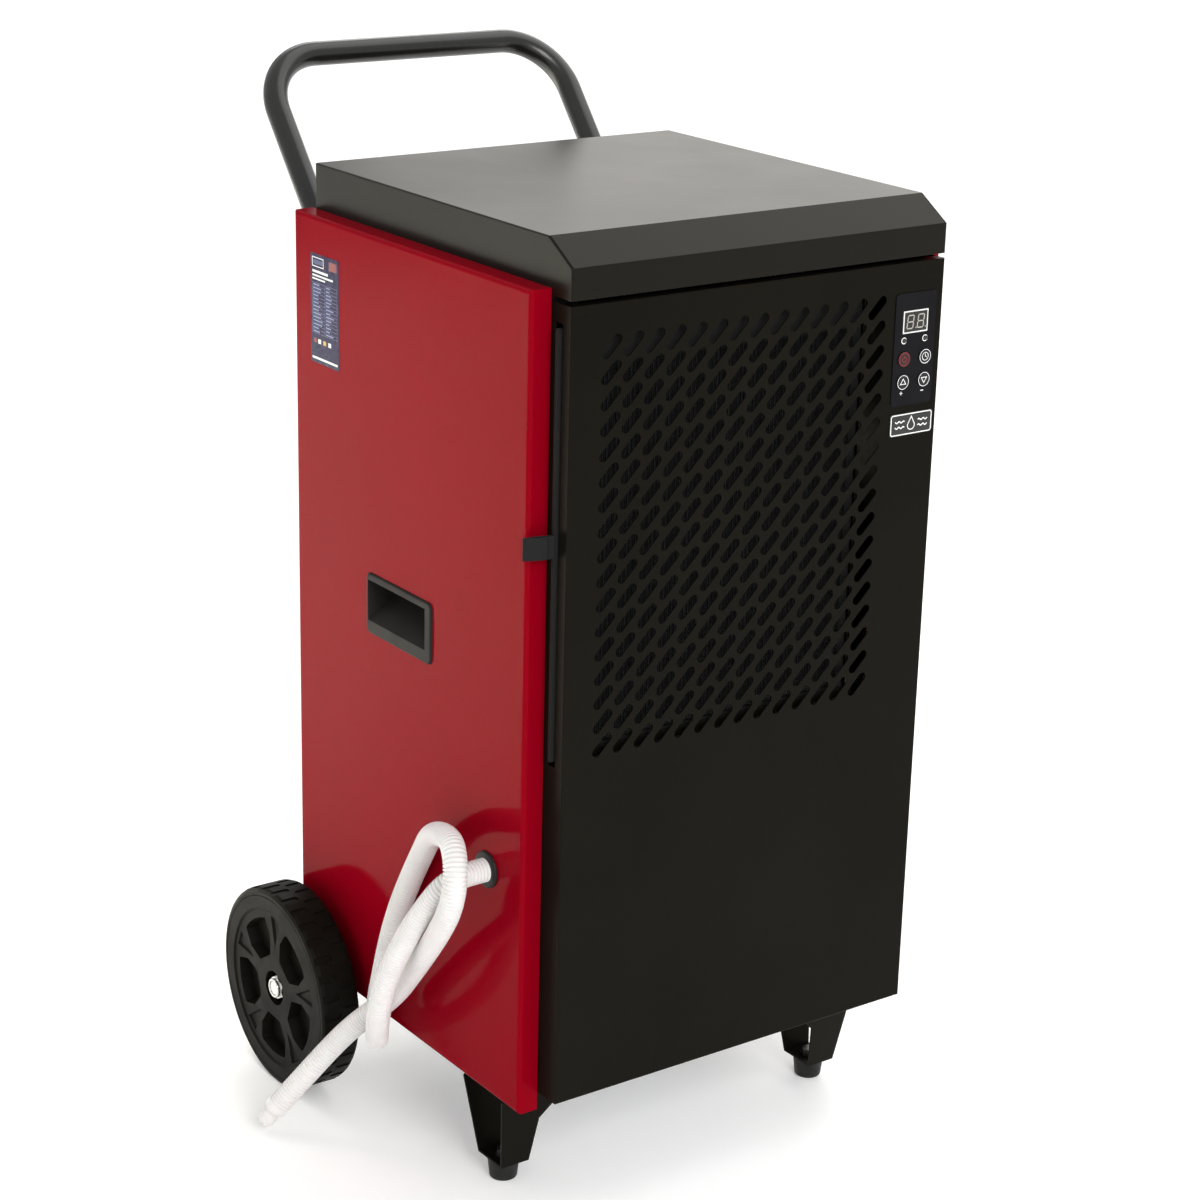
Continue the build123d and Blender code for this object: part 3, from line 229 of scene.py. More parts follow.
BLACK = (0.0062, 0.0054, 0.0040)
POWDER_COAT = dict(contrast=0.14, patches=5.0, rough=(0.285, 0.315), grain=1100.0, grain_height=0.00002,
                   grain_strength=0.2, swell=0.00015)
KEY_FILM = dict(contrast=0.2, patches=60.0, rough=(0.2, 0.3), grain=1500.0, Specular_IOR_Level=0.3)
looks = {
    "black_sheet": surface("black_powder_coat", BLACK, Specular_IOR_Level=0.125,
                           Specular_Tint=(1.0, 0.93, 0.80, 1.0), **POWDER_COAT),
    "front_coat": surface("black_front_coat", BLACK, Specular_IOR_Level=0.043,
                          Specular_Tint=(1.0, 0.90, 0.70, 1.0), **POWDER_COAT),
    "red_sheet": surface("red_gloss_paint", (0.229, 0.0004, 0.0072), contrast=0.035, patches=4.0,
                         rough=(0.085, 0.13), grain=420.0, grain_height=0.00003, grain_strength=0.10,
                         swell=0.0004, Specular_IOR_Level=0.019, Specular_Tint=(1.0, 1.0, 0.55, 1.0)),
    "galvanised_sheet": galvanised("galvanised_steel", (0.33, 0.35, 0.36), (0.6, 0.61, 0.62)),
    "black_fastener": surface("black_zinc", (0.02, 0.02, 0.021), contrast=0.2, patches=60.0,
                              rough=(0.25, 0.4), grain=900.0),
    "keypad_film": surface("keypad_film", (0.0050, 0.0050, 0.0064), contrast=0.2, patches=30.0,
                           rough=(0.30, 0.42), grain=1800.0, grain_height=0.00003, grain_strength=0.4,
                           Specular_IOR_Level=0.08),
    "red_key": surface("red_key", (0.022, 0.010, 0.012), **KEY_FILM),
    "dark_key": surface("dark_key", (0.009, 0.009, 0.012), **KEY_FILM),
    "lamp_plastic": surface("lamp_plastic", (0.020, 0.020, 0.022), contrast=0.12, patches=120.0,
                            rough=(0.15, 0.25), grain=900.0),
    "display_plastic": surface("display_frame", (0.72, 0.72, 0.70), contrast=0.04, patches=60.0,
                               rough=(0.3, 0.4), grain=1300.0),
    "circuit_board": surface("solder_mask", (0.015, 0.12, 0.045), contrast=0.3, patches=160.0,
                             rough=(0.25, 0.4), grain=900.0),
    "badge": surface("badge_black", (0.010, 0.010, 0.011), contrast=0.2, patches=60.0,
                     rough=(0.22, 0.32), grain=1500.0),
    "blue_label": surface("blue_film", (0.016, 0.014, 0.058), contrast=0.06, patches=30.0,
                          rough=(0.22, 0.34), grain=1300.0, grain_height=0.00002, grain_strength=0.2,
                          Specular_IOR_Level=0.08),
    # painted shade: the aluminium coil fins get a near-black colour that stands for the shade behind the
    # filter, not their own grey
    "coil_aluminium": surface("coil_fins_painted_shade", (0.020, 0.021, 0.022), contrast=0.25, patches=30.0,
                              rough=(0.4, 0.6), grain=900.0),
    "copper": metal("drawn_copper", (0.72, 0.33, 0.18), (0.2, 0.42), tarnish=(0.34, 0.14, 0.08)),
    "grey_plastic": surface("grey_plastic", (0.20, 0.205, 0.21), contrast=0.08, patches=12.0,
                            rough=(0.4, 0.5), grain=1100.0),
    "compressor_paint": surface("compressor_enamel", (0.014, 0.014, 0.015), contrast=0.2, patches=12.0,
                                rough=(0.15, 0.3), grain=500.0),
    "black_rubber": surface("black_rubber", (0.011, 0.0105, 0.010), contrast=0.22, patches=70.0,
                            rough=(0.42, 0.62), grain=1300.0, grain_height=0.00005, Specular_IOR_Level=0.25),
    "zinc_steel": metal("bright_zinc", (0.72, 0.71, 0.69), (0.16, 0.32), scratches=(120.0, 120.0, 120.0)),
    "fan_plastic": surface("fan_plastic", (0.03, 0.03, 0.033), contrast=0.15, patches=15.0,
                           rough=(0.35, 0.5), grain=900.0),
    "motor_paint": surface("motor_paint", (0.06, 0.06, 0.065), contrast=0.12, patches=20.0,
                           rough=(0.3, 0.45), grain=700.0),
    "black_wire": surface("coated_wire", (0.014, 0.014, 0.014), contrast=0.2, patches=40.0,
                          rough=(0.3, 0.42), grain=900.0),
    "black_plastic": surface("moulded_black", (0.0215, 0.0190, 0.0185), contrast=0.15, patches=16.0,
                             rough=(0.40, 0.52), grain=1500.0, grain_height=0.00005, grain_strength=0.6,
                             Specular_IOR_Level=0.05),
    "wheel_plastic": surface("wheel_black", (0.0072, 0.0064, 0.0050), contrast=0.2, patches=20.0,
                             rough=(0.38, 0.54), grain=1100.0, grain_height=0.00005, grain_strength=0.5,
                             Specular_IOR_Level=0.05),
    "black_gloss_tube": surface("tube_gloss_black", (0.0075, 0.0072, 0.0068), contrast=0.15, patches=8.0,
                                rough=(0.20, 0.28), grain=500.0, grain_height=0.00003, grain_strength=0.15),
    "hose_plastic": surface("hose_white", (0.75, 0.735, 0.725), contrast=0.04, patches=22.0,
                            rough=(0.32, 0.46), grain=1400.0, grain_height=0.00003, grain_strength=0.3,
                            Subsurface_Weight=0.12, Subsurface_Scale=0.0015),
    "filter_binding": woven("filter_binding", (0.003, 0.003, 0.003), (0.011, 0.0105, 0.010), pitch=0.0006,
                            height=0.0001),
    "filter_mesh": surface("filter_wire", (0.006, 0.006, 0.0062), contrast=0.3, patches=90.0,
                           rough=(0.45, 0.65), grain=900.0, Specular_IOR_Level=0.2),
    "webbing": woven("webbing", (0.003, 0.003, 0.0032), (0.015, 0.015, 0.0155), pitch=0.0009, height=0.0002,
                     sheen=0.05),
}
# the front sheet and the legs are duller than the rest of the black sheet
FRONT_NODES = ("front_panel", "left_front_leg", "right_front_leg")
for entry in frame["record"]["subparts"]:
    look = "front_coat" if entry["node"] in FRONT_NODES else entry["material_slot"]
    for holder in nodes[entry["node"]].material_slots:
        holder.material = looks[look]


# ---------------------------------------------------------------- mesh helpers
def piece(name, verts, faces, look, body="cabinet", slot=None, sharp=35.0):
    """A mesh object with its material, riding on a body."""
    mesh = bpy.data.meshes.new(name)
    mesh.from_pydata([tuple(v) for v in verts], [], faces)
    mesh.validate()
    mesh.shade_smooth()
    mesh.set_sharp_from_angle(angle=math.radians(sharp))
    made = bpy.data.objects.new(name, mesh)
    mesh.materials.append(looks[look] if isinstance(look, str) else look)
    scene.collection.objects.link(made)
    if body:
        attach(made, body)
    return made


def join_rings(rings, closed=True):
    """Faces between rings of the same number of points, as (verts, faces)."""
    count = len(rings[0])
    verts = [point for ring in rings for point in ring]
    pairs = [(k, (k + 1) % len(rings)) for k in range(len(rings) if closed else len(rings) - 1)]
    faces = [(a * count + i, a * count + (i + 1) % count, b * count + (i + 1) % count, b * count + i)
             for a, b in pairs for i in range(count)]
    return verts, faces


def frames_along(points):
    """A pair of side directions for each point of a path, turning as little as possible."""
    found = []
    side = None
    for k in range(len(points)):
        ahead = points[min(k + 1, len(points) - 1)] - points[max(k - 1, 0)]
        ahead.normalize()
        if side is None:
            side = ahead.orthogonal().normalized()
        side = (side - ahead * side.dot(ahead)).normalized()
        found.append((side, ahead.cross(side)))
    return found


def resample(points, step):
    """Points at even steps along a path."""
    out = [points[0].copy()]
    need = step
    for a, b in zip(points, points[1:]):
        length = (b - a).length
        gone = 0.0
        while length - gone >= need:
            gone += need
            out.append(a.lerp(b, gone / length))
            need = step
        need -= length - gone
    return out


def lathe(profile, origin, axis, segments):
    """A closed solid of revolution from (distance along the axis, radius) pairs round its section."""
    axis = axis.normalized()
    side = axis.orthogonal().normalized()
    other = axis.cross(side)
    rings = []
    for k in range(segments):
        turn = 2 * math.pi * k / segments
        out = side * math.cos(turn) + other * math.sin(turn)
        rings.append([origin + axis * along + out * radius for along, radius in profile])
    return join_rings(rings)


def merge(parts):
    """Several (verts, faces) as one."""
    verts, faces = [], []
    for more_verts, more_faces in parts:
        faces.extend(tuple(i + len(verts) for i in face) for face in more_faces)
        verts.extend(more_verts)
    return verts, faces


# ---------------------------------------------------------------- drain hose
HOSE_ROUTE = [
    (-239.5, 90.7, 358.9), (-256, 90.7, 358.9), (-271, 91, 358), (-285.7, 95.7, 350),
    (-293.8, 109.2, 328.6), (-299.9, 130.6, 296.3), (-307.9, 148.6, 258.3), (-311.3, 168.4, 211.9),
    (-302.2, 191.9, 166.3), (-281.7, 227.5, 126.8), (-263.7, 256.5, 115.8), (-254, 273, 140),
    (-254, 261, 180), (-254, 247, 225), (-254, 228, 270), (-255, 202, 315),
    (-259, 176, 350), (-266, 150, 380), (-274, 114, 395), (-287, 76, 400),
    (-296, 58, 374), (-296, 67, 340), (-289.9, 95.5, 304.4), (-281.3, 132.3, 266),
    (-272.9, 171.5, 226.4), (-270.3, 204.5, 189.2), (-271.9, 236.8, 158.5), (-285.9, 257.8, 135.5),
    (-300, 278, 108), (-320, 295, 75), (-341, 310, 43), (-352, 317, 28),
]
CUFF_END = (-361.5, 322, 13.5)
HOSE_R = 0.0119
HOSE_BORE = 0.0097
RIB_PITCH = 0.0037
RIB_DEPTH = 0.0017
GROOVE_HALF = 0.29  # share of the rib pitch
RINGS_PER_RIB = 7
PLAIN_RIBS = 2
HOSE_SEGMENTS = 28
LIP_CHAMFER = 0.0006

CUFF_R = 0.0082
CUFF_RIB = 0.0006
CUFF_RIB_PITCH = 0.0046
CUFF_PLAIN = 0.003
CUFF_MOUTH = 0.002
CUFF_PLUG = 0.012


def nurbs_path(name, route):
    """Dense points along a NURBS spline through the given control points."""
    curve = bpy.data.curves.new(name, "CURVE")
    curve.dimensions = "3D"
    spline = curve.splines.new("NURBS")
    spline.points.add(len(route) - 1)
    for control, place in zip(spline.points, route):
        control.co = (*at(*place), 1.0)
    spline.order_u = 3
    spline.use_endpoint_u = True
    spline.resolution_u = 40
    holder = bpy.data.objects.new(name, curve)
    scene.collection.objects.link(holder)
    bpy.context.view_layer.update()
    mesh = bpy.data.meshes.new_from_object(holder)
    points = [vertex.co.copy() for vertex in mesh.vertices]
    bpy.data.objects.remove(holder)
    bpy.data.meshes.remove(mesh)
    bpy.data.curves.remove(curve)
    return points


def rib(fraction):
    """How deep the groove is at a fraction of the rib pitch, from 0 on the ridge to 1."""
    away = abs(fraction - 0.5) / GROOVE_HALF
    return 0.0 if away > 1 else 0.5 * (1 + math.cos(math.pi * away))


def corrugated_hose():
    """The hose as a closed ribbed tube, with the path that it follows and its length."""
    path = nurbs_path("hose_path", HOSE_ROUTE)
    length = sum((b - a).length for a, b in zip(path, path[1:]))
    points = resample(path, RIB_PITCH / RINGS_PER_RIB)
    sides = frames_along(points)
    turns = [2 * math.pi * i / HOSE_SEGMENTS for i in range(HOSE_SEGMENTS)]

    def ring(k, radius):
        u, v = sides[k]
        return [points[k] + (u * math.cos(turn) + v * math.sin(turn)) * radius for turn in turns]

    rings = []
    last = len(points) - 1
    for k in range(len(points)):
        depth = RIB_DEPTH * rib((k % RINGS_PER_RIB) / RINGS_PER_RIB)
        if k > last - PLAIN_RIBS * RINGS_PER_RIB:
            depth = 0.0
        rings.append(ring(k, HOSE_R - depth))
    rings.append(ring(last, HOSE_R - LIP_CHAMFER))
    for k in range(last, -1, -RINGS_PER_RIB):
        rings.append(ring(k, HOSE_BORE))
    if (last % RINGS_PER_RIB) != 0:
        rings.append(ring(0, HOSE_BORE))
    verts, faces = join_rings(rings)
    hose = piece("corrugated_drain_hose", verts, faces, "hose_plastic", slot="hose_plastic", sharp=75.0)
    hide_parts("drain_hose")
    return hose, path, length


def end_fitting(hose_end):
    """The narrower ribbed end, plugged into the hose and closing a little at its mouth."""
    way = at(*CUFF_END) - hose_end
    length = way.length
    profile = [(-CUFF_PLUG, 0.0070), (-CUFF_PLUG, 0.0086)]
    steps = 24
    for step in range(steps + 1):
        along = length * step / steps
        wave = max(0.0, math.sin(along / CUFF_RIB_PITCH * 2 * math.pi))
        ridge = CUFF_RIB * wave if along < length - CUFF_PLAIN else 0.0
        closing = max(0.0, (along - length + CUFF_MOUTH) / CUFF_MOUTH)
        profile.append((along, CUFF_R + ridge - 0.0009 * closing * closing))
    profile += [(length, 0.0068), (length - 0.001, 0.0064)]
    fitting = piece("hose_end_fitting", *lathe(profile, hose_end, way, 40), "hose_plastic",
                    slot="hose_plastic", sharp=60.0)
    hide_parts("hose_cuff")
    return fitting


hose, hose_path, hose_length = corrugated_hose()
cuff = end_fitting(hose_path[-1])


# ---------------------------------------------------------------- filter
def slab(low, high):
    """A plain rectangular bar as (verts, faces)."""
    verts = [(x, y, z) for x in (low[0], high[0]) for y in (low[1], high[1]) for z in (low[2], high[2])]
    faces = [(0, 1, 3, 2), (4, 6, 7, 5), (0, 4, 5, 1), (2, 3, 7, 6), (0, 2, 6, 4), (1, 5, 7, 3)]
    return verts, faces


def capsule(start, end, radius, segments=8):
    """A short rounded thread or wire from one point to another."""
    way = end - start
    length = way.length
    rounding = [(0.0, 0.0001), (0.12, 0.6), (0.5, 0.92), (1.0, 1.0)]
    cap = [(along * radius, out * radius) for along, out in rounding]
    profile = cap + [(length - along, r) for along, r in reversed(cap)]
    way.normalize()
    side = way.orthogonal().normalized()
    other = way.cross(side)
    rings = []
    for along, r in profile:
        rings.append([start + way * along + (side * math.cos(t) + other * math.sin(t)) * r
                      for t in (2 * math.pi * i / segments for i in range(segments))])
    verts, faces = join_rings(rings, closed=False)
    faces.append(tuple(reversed(range(segments))))
    faces.append(tuple(range(len(verts) - segments, len(verts))))
    return verts, faces


def filter_binding():
    """The sewn strip round the filter: a rounded section carried round four mitred corners."""
    low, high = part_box("filter_frame")
    inner_low, inner_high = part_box("filter_mesh")
    depth = high.y - low.y
    middle_y = (low.y + high.y) / 2
    corners = [(low.x, low.z, inner_low.x, inner_low.z), (high.x, low.z, inner_high.x, inner_low.z),
               (high.x, high.z, inner_high.x, inner_high.z), (low.x, high.z, inner_low.x, inner_high.z)]
    half = [(0.0, 0.30), (0.04, 0.43), (0.12, 0.49), (0.3, 0.5), (0.88, 0.46), (1.0, 0.30)]
    section = [(0.0, -0.30)] + half + [(share, -off) for share, off in reversed(half[1:])]
    rings = []
    for outer_x, outer_z, inner_x, inner_z in corners:
        rings.append([Vector((outer_x + (inner_x - outer_x) * share, middle_y + depth * off,
                              outer_z + (inner_z - outer_z) * share)) for share, off in section])
    strip = piece("filter_binding_strip", *join_rings(rings), "filter_binding", "air_filter",
                  "filter_binding")
    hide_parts("filter_frame")


def filter_net():
    """Upright and level wires in two layers, tucked a little way into the binding."""
    low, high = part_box("filter_mesh")
    frame_low, frame_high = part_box("filter_frame")
    y = (frame_low.y + frame_high.y) / 2
    pitch, wire, tuck = 0.0021, 0.00028, 0.001
    wires = []
    x = low.x + pitch / 2
    while x < high.x:
        wires.append(slab((x - wire, y - 2 * wire, low.z - tuck), (x + wire, y, high.z + tuck)))
        x += pitch
    z = low.z + pitch / 2
    while z < high.z:
        wires.append(slab((low.x - tuck, y, z - wire), (high.x + tuck, y + 2 * wire, z + wire)))
        z += pitch
    net = piece("filter_net", *merge(wires), "filter_mesh", "air_filter", "filter_mesh")
    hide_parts("filter_mesh")


def filter_stitching():
    """One row of stitches along each side of the binding, on its front."""
    low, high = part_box("filter_frame")
    inset, step, stitch, thread, lift = 0.0062, 0.0034, 0.72, 0.00032, 0.00005
    upright_ends, level_ends = 0.004, 0.012
    stitches = []
    y = (low.y + high.y) / 2 - (high.y - low.y) * 0.5 - lift
    z = low.z + upright_ends
    while z < high.z - upright_ends:
        for x in (low.x + inset, high.x - inset):
            stitches.append(capsule(Vector((x, y, z)), Vector((x, y, z + step * stitch)), thread))
        z += step
    x = low.x + level_ends
    while x < high.x - level_ends:
        for z in (low.z + inset, high.z - inset):
            stitches.append(capsule(Vector((x, y, z)), Vector((x + step * stitch, y, z)), thread))
        x += step
    piece("filter_stitching", *merge(stitches), "webbing", "air_filter", "webbing")


def pull_loop():
    """A folded loop of ribbed tape on the filter's end, leaning towards the back."""
    low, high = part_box("filter_pull_tab")
    base_y = low.y + 0.0026
    reach = high.x - low.x - 0.0008
    lean, half_gap = 0.0068, 0.0027
    thickness, ridge, selvedge, edge = 0.0011, 0.00005, 0.00012, 0.0004
    last, columns = 32, 19
    centre = []
    for k in range(last + 1):
        turn = math.pi * (k / last - 0.5)
        out = max(0.0, math.cos(turn)) ** 0.6 if k not in (0, last) else 0.0
        lens = 0.3 + 0.7 * math.sin(math.pi * min(1.0, out * 0.62 + 0.12))
        y = base_y + lean * out ** 1.4 + half_gap * lens * math.sin(turn)
        centre.append(Vector((high.x - reach * out, y, 0)))
    rings = []
    for k, point in enumerate(centre):
        ahead = (centre[min(k + 1, last)] - centre[max(k - 1, 0)]).normalized()
        out = Vector((ahead.y, -ahead.x, 0))
        outer, inner = [], []
        for c in range(columns):
            z = low.z + edge + (high.z - low.z - 2 * edge) * c / (columns - 1)
            swell = ridge * (c % 2) + (selvedge if c in (0, columns - 1) else 0.0)
            base = Vector((point.x, point.y, z))
            outer.append(base + out * (thickness / 2 + swell))
            inner.append(base - out * (thickness / 2 + swell))
        rings.append(outer + list(reversed(inner)))
    verts, faces = join_rings(rings, closed=False)
    count = len(rings[0])
    faces.append(tuple(reversed(range(count))))
    faces.append(tuple(range(len(verts) - count, len(verts))))
    loop = piece("pull_loop_tape", verts, faces, "webbing", "air_filter", "webbing", sharp=60.0)
    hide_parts("filter_pull_tab")


filter_binding()
filter_net()
filter_stitching()
pull_loop()


# ---------------------------------------------------------------- flat graphics as thin raised shapes
def stroke(points, width, closed=False):
    """The two sides of a line of the given width through 2D points, as (left, right) pairs."""
    count = len(points)
    pairs = []
    for k, point in enumerate(points):
        before = points[(k - 1) % count] if closed or k else None
        after = points[(k + 1) % count] if closed or k < count - 1 else None
        into = (point - before).normalized() if before else (after - point).normalized()
        out = (after - point).normalized() if after else into
        normal = Vector((-(into + out).y, (into + out).x)).normalized()
        reach = width / 2 / max(0.4, normal.dot(Vector((-into.y, into.x))))
        pairs.append((point + normal * reach, point - normal * reach))
    return pairs


def place_2d(plane, point, height):
    """A 2D point of a plane, lifted out of it by a height."""
    origin, across, up, out = plane
    return origin + across * point.x + up * point.y + out * height


def stroke_solid(plane, points, width, closed, height):
    """A raised line as (verts, faces)."""
    rings = []
    for left, right in stroke(points, width, closed):
        rings.append([place_2d(plane, left, 0.0), place_2d(plane, left, height),
                      place_2d(plane, right, height), place_2d(plane, right, 0.0)])
    verts, faces = join_rings(rings, closed)
    if not closed:
        faces += [(0, 1, 2, 3), tuple(reversed(range(len(verts) - 4, len(verts))))]
    return verts, faces


def filled_solid(plane, points, height):
    """A raised flat shape as (verts, faces)."""
    count = len(points)
    verts = [place_2d(plane, p, level) for level in (0.0, height) for p in points]
    faces = [tuple(reversed(range(count))), tuple(range(count, 2 * count))]
    faces += [(i, (i + 1) % count, count + (i + 1) % count, count + i) for i in range(count)]
    return verts, faces


def arc(centre, radius, start, end, steps=28):
    """Points along an arc from one angle to another, in degrees."""
    full = abs(end - start) >= 359.9
    angles = [math.radians(start + (end - start) * k / steps) for k in range(steps if full else steps + 1)]
    return [Vector((centre[0] + radius * math.cos(angle), centre[1] + radius * math.sin(angle)))
            for angle in angles]


def circle(centre, radius, steps=28):
    return arc(centre, radius, 0, 360, steps)


def rectangle(x0, z0, x1, z1, corner=0.0, steps=5):
    if not corner:
        return [Vector((x0, z0)), Vector((x1, z0)), Vector((x1, z1)), Vector((x0, z1))]
    points = []
    for cx, cz, start in ((x1 - corner, z0 + corner, -90), (x1 - corner, z1 - corner, 0),
                          (x0 + corner, z1 - corner, 90), (x0 + corner, z0 + corner, 180)):
        points += arc((cx, cz), corner, start, start + 90, steps)
    return points


def print_look(name, colour):
    return surface(name, colour, 0.05, 80.0, (0.35, 0.5), 1600.0)


PRINT = {
    "white": print_look("print_white", (0.82, 0.82, 0.80)),
    "red": print_look("print_red", (0.20, 0.014, 0.014)),
    "grey": print_look("print_segment_grey", (0.42, 0.39, 0.34)),
    "glass": surface("display_glass", (0.010, 0.009, 0.009), 0.2, 60.0, (0.12, 0.2), 1500.0),
    "navy": print_look("print_navy", (0.020, 0.030, 0.140)),
    "pale_blue": print_look("print_pale_blue", (0.17, 0.20, 0.38)),
    "yellow": print_look("print_yellow", (0.55, 0.36, 0.03)),
}
RAISE = 0.00012


def front_plane(node, lift=0.0):
    """The plane of a node's front face as (origin, across, up, out), lifted off it a little."""
    origin = Vector((0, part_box(node)[0].y - lift, 0))
    return origin, Vector((1, 0, 0)), Vector((0, 0, 1)), Vector((0, -1, 0))


def graphic(name, plane, strokes=(), fills=(), colour="white", body="cabinet", slot="keypad_film",
            height=RAISE):
    """One printed piece made of (points, width, closed) strokes and filled outlines."""
    parts = [stroke_solid(plane, points, width, closed, height) for points, width, closed in strokes]
    parts += [filled_solid(plane, points, height) for points in fills]
    piece(name, *merge(parts), PRINT[colour], body, slot)


def centre_of(node):
    low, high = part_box(node)
    return (low.x + high.x) / 2, (low.z + high.z) / 2


def seven_segment(x, z, width, height, lean=0.10):
    """The seven bars of one digit, as pointed hexagons."""
    bar, gap = width * 0.15, width * 0.03
    half_w, half_h = width / 2, height / 2
    level = [((-half_w, row * half_h), (half_w, row * half_h)) for row in (1, 0, -1)]
    upright = [((side * half_w, low * half_h), (side * half_w, (low + 1) * half_h))
               for low in (0, -1) for side in (-1, 1)]
    bars = level + upright
    shapes = []
    for (x0, z0), (x1, z1) in bars:
        a, b = Vector((x0, z0)), Vector((x1, z1))
        along = (b - a).normalized()
        side = Vector((-along.y, along.x)) * bar / 2
        a, b = a + along * gap, b - along * gap
        body = [a, a + along * bar / 2 - side, b - along * bar / 2 - side, b, b - along * bar / 2 + side,
                a + along * bar / 2 + side]
        shapes.append([Vector((x + p.x + lean * p.y, z + p.y)) for p in body])
    return shapes


KEY_RING_R = 0.0068
LAMP_OFFSET = 0.0133
LAMP_HEIGHT = 0.8485
SIGN_HEIGHT = 0.7965
SIGN_HALF = 0.0017


def display_graphics():
    """The dark window, two digits and two points of the display."""
    low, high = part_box("display_module")
    plane = front_plane("display_module")
    width = high.x - low.x
    x, z = centre_of("display_module")
    rim, corner, window = 0.0013, 0.0006, 0.0001
    glass = rectangle(low.x + rim, low.z + rim, high.x - rim, high.z - rim, corner)
    graphic("display_window", plane, fills=[glass], colour="glass", slot="display_plastic", height=window)
    shapes = []
    for across in (-0.215, 0.205):
        shapes += seven_segment(x + width * across, z, 0.0074, 0.0128)
    for across in (0.02, 0.40):
        shapes.append(circle((x + width * across, z - 0.0061), 0.0007, 12))
    graphic("display_digits", front_plane("display_module", window), fills=shapes, colour="grey",
            slot="display_plastic", height=0.00008)


def keypad_print():
    """Two lamp rings and the plus and minus under the arrow keys."""
    low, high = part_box("keypad_overlay")
    middle = (low.x + high.x) / 2
    strokes = []
    for side in (-1, 1):
        strokes.append((circle((middle + side * LAMP_OFFSET, LAMP_HEIGHT), 0.0029, 32), 0.0008, True))
    plus, minus = middle - LAMP_OFFSET, middle + LAMP_OFFSET
    for (x0, z0), (x1, z1) in (((plus - SIGN_HALF, SIGN_HEIGHT), (plus + SIGN_HALF, SIGN_HEIGHT)),
                               ((plus, SIGN_HEIGHT - SIGN_HALF), (plus, SIGN_HEIGHT + SIGN_HALF)),
                               ((minus - SIGN_HALF, SIGN_HEIGHT), (minus + SIGN_HALF, SIGN_HEIGHT))):
        strokes.append(([Vector((x0, z0)), Vector((x1, z1))], 0.0008, False))
    graphic("keypad_print", front_plane("keypad_overlay"), strokes=strokes)


def power_symbol():
    x, z = centre_of("power_key")
    strokes = [(circle((x, z), KEY_RING_R, 40), 0.0006, True), (circle((x, z), 0.0056, 40), 0.0004, True),
               (arc((x, z - 0.0002), 0.0026, 125, 415), 0.0007, False),
               ([Vector((x, z + 0.0004)), Vector((x, z + 0.0034))], 0.0007, False)]
    graphic("power_symbol", front_plane("power_key"), strokes, colour="red", body="power_button",
            slot="red_key")


def timer_symbol():
    x, z = centre_of("timer_key")
    hands = [Vector((x, z + 0.0026)), Vector((x, z)), Vector((x + 0.0019, z - 0.0008))]
    strokes = [(circle((x, z), KEY_RING_R, 40), 0.00055, True), (circle((x, z), 0.0038, 32), 0.0006, True),
               (hands, 0.0006, False)]
    graphic("timer_symbol", front_plane("timer_key"), strokes, body="timer_button", slot="dark_key")


def arrow_symbol(name, sign):
    """A triangle in a ring, pointing up for a sign of 1 and down for -1."""
    x, z = centre_of(name + "_key")
    base = z - 0.0019 * sign
    corners = [Vector((x - 0.0034, base)), Vector((x + 0.0034, base)), Vector((x, z + 0.0034 * sign))]
    strokes = [(circle((x, z), KEY_RING_R, 40), 0.00055, True), (corners, 0.0007, True)]
    graphic(name + "_symbol", front_plane(name + "_key"), strokes, body=name + "_button", slot="dark_key")


def badge_graphics():
    """A drop between two pairs of waves, in a border."""
    low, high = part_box("badge_plate")
    x, z = centre_of("badge_plate")
    inset, line, thin = 0.0013, 0.0011, 0.0009
    border = rectangle(low.x + inset, low.z + inset, high.x - inset, high.z - inset, 0.0022)
    drop = [Vector((x, z + 0.0072))]
    for angle in range(115, -116, -10):
        turn = math.radians(angle)
        drop.append(Vector((x + 0.0044 * math.sin(turn), z - 0.0018 - 0.0042 * math.cos(turn))))
    strokes = [(border, line, True), (drop, thin, True)]
    for side in (-1, 1):
        for level in (-0.0028, 0.0028):
            wave = [Vector((x + side * (0.0085 + 0.0012 * k), z + level + 0.0009 * math.sin(k * 1.35)))
                    for k in range(11)]
            strokes.append((wave, line, False))
    graphic("badge_print", front_plane("badge_plate"), strokes=strokes, slot="badge")


# the rating sticker's ruled field, in shares of its height, and the height of its print in metres
TABLE_TOP = 0.265
TABLE_END = 0.727
ROW_PITCH = 0.033
INK = 0.00006


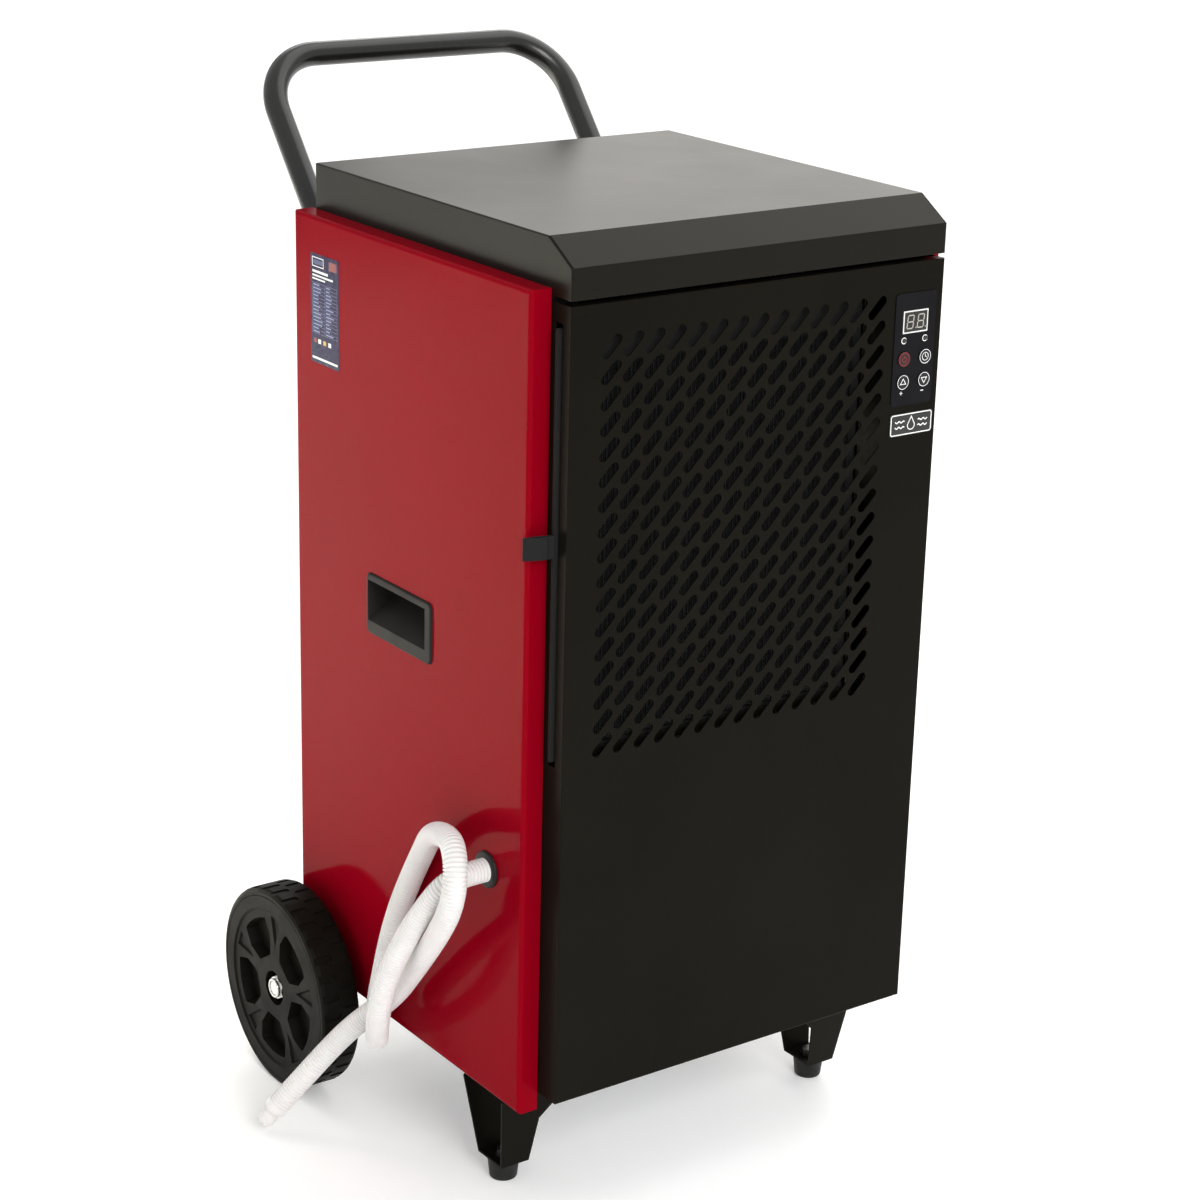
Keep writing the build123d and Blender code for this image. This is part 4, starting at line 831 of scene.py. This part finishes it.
def label_graphics():
    """The sticker's plain fields, placed in shares of its width and, downwards, of its height."""
    low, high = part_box("rating_label")
    plane = (Vector((low.x, 0, 0)), Vector((0, -1, 0)), Vector((0, 0, 1)), Vector((-1, 0, 0)))
    left = -high.y
    width, tall = high.y - low.y, high.z - low.z
    slot = "blue_label"

    def spot(u, v):
        return Vector((left + u * width, high.z - v * tall))

    def line(u0, v0, u1, v1):
        return [spot(u0, v0), spot(u1, v1)], 0.00022, False

    def field(u0, v0, u1, v1):
        start, end = spot(u0, v1), spot(u1, v0)
        return rectangle(start.x, start.y, end.x, end.y)

    def small_square(u):
        return field(u, 0.775, u + 0.10, 0.815)

    rules = [line(0.06, TABLE_TOP + ROW_PITCH * row, 0.94, TABLE_TOP + ROW_PITCH * row) for row in range(15)]
    columns = [line(u, TABLE_TOP, u, TABLE_END) for u in (0.06, 0.50, 0.94)]
    graphic("label_rules", plane, strokes=rules + columns, colour="pale_blue", slot=slot, height=INK)
    bars = []
    for row in range(14):
        v = TABLE_TOP + ROW_PITCH * row + 0.010
        bars.append(field(0.09, v, 0.09 + random.uniform(0.18, 0.34), v + 0.012))
        bars.append(field(0.54, v, 0.54 + random.uniform(0.12, 0.3), v + 0.012))
    graphic("label_table_marks", plane, fills=bars, colour="pale_blue", slot=slot, height=INK)
    headings = [field(0.07, 0.150, 0.62, 0.172), field(0.07, 0.190, 0.80, 0.206),
                field(0.07, 0.222, 0.52, 0.236), field(0.05, 0.945, 0.95, 0.965),
                small_square(0.26), small_square(0.62)]
    outline = (field(0.07, 0.035, 0.46, 0.115), 0.0009, True)
    graphic("label_white_print", plane, strokes=[outline], fills=headings, colour="white", slot=slot,
            height=INK)
    graphic("label_name_field", plane, fills=[field(0.10, 0.055, 0.43, 0.095)], colour="navy", slot=slot,
            height=0.00005)
    graphic("label_red_box", plane, fills=[field(0.66, 0.035, 0.93, 0.115), small_square(0.10)],
            colour="red", slot=slot, height=INK)
    graphic("label_yellow_mark", plane, fills=[small_square(0.44)], colour="yellow", slot=slot, height=INK)


display_graphics()
keypad_print()
power_symbol()
timer_symbol()
arrow_symbol("up", 1)
arrow_symbol("down", -1)
badge_graphics()
label_graphics()


# ---------------------------------------------------------------- floor and light
FLOOR_HALF = 45.0


def softbox(name, place, target, width, height, power, colour=(1, 1, 1), spread=180.0):
    """A rectangular light aimed at a point, unseen by the camera itself."""
    data = bpy.data.lights.new(name, "AREA")
    data.shape = "RECTANGLE"
    data.size, data.size_y = width, height
    data.energy = power
    data.color = colour
    data.spread = math.radians(spread)
    lamp = bpy.data.objects.new(name, data)
    lamp.location = place
    lamp.rotation_mode = "QUATERNION"
    lamp.rotation_quaternion = (Vector(target) - Vector(place)).to_track_quat("-Z", "Y")
    lamp.visible_camera = False
    scene.collection.objects.link(lamp)


def floor_sheet():
    """A wide sheet of pale paper that glows slightly."""
    tree = Tree("floor_paper")
    paper = tree.colours(tree.noise(1.3, 3.0), [(0.3, (0.90, 0.90, 0.90)), (0.7, (0.92, 0.92, 0.92))])
    tree.set(Base_Color=paper, Roughness=tree.spread(tree.noise(20.0, 2.0), 0.75, 0.85),
             Specular_IOR_Level=0.2, Emission_Color=(1.0, 1.0, 1.0, 1.0), Emission_Strength=0.18)
    tree.bump((tree.noise(400.0, 2.0), 0.1, 0.0001))
    half = FLOOR_HALF
    floor = piece("studio_floor", [(-half, -half, 0), (half, -half, 0), (half, half, 0), (-half, half, 0)],
                  [(0, 1, 2, 3)], tree.material, body=None)


def surroundings():
    """A white world, dimmer in a patch behind the machine, near the horizon."""
    world = bpy.data.worlds.new("studio")
    scene.world = world
    world.use_nodes = True
    sky = world.node_tree
    back = sky.nodes["Background"]
    back.inputs["Color"].default_value = (1.0, 0.995, 0.985, 1.0)
    toward = sky.nodes.new("ShaderNodeTexCoord").outputs["Generated"]
    dim_side = sky.nodes.new("ShaderNodeVectorMath")
    dim_side.operation = "DOT_PRODUCT"
    dim_side.inputs[1].default_value = (0.30, 0.938, 0.175)
    level = sky.nodes.new("ShaderNodeMapRange")
    for socket, value in (("From Min", 0.968), ("From Max", 0.992), ("To Min", 0.8), ("To Max", 0.15)):
        level.inputs[socket].default_value = value
    sky.links.new(toward, dim_side.inputs[0])
    sky.links.new(dim_side.outputs["Value"], level.inputs["Value"])
    sky.links.new(level.outputs[0], back.inputs["Strength"])


floor_sheet()
surroundings()
softbox("key", (-0.9, -3.8, 2.5), (0, 0, 0.4), 1.8, 1.8, 92.0)
softbox("side_wash", (-2.05, 2.1, 1.3), (-2.05, 2.1, 0), 3.2, 3.2, 114.0, (1.0, 0.97, 0.80), 70.0)
softbox("backdrop_light", (3.25, 2.65, 2.45), (0, 0, 0.98), 3.8, 2.6, 31.0, (1.0, 0.95, 0.87))
softbox("top_light", (1.5, -0.1, 3.1), (0, -0.2, 0.95), 2.6, 2.6, 33.0)
softbox("floor_wash", (7.0, 10.0, 8.0), (7.0, 10.0, 0), 9.0, 9.0, 420.0)
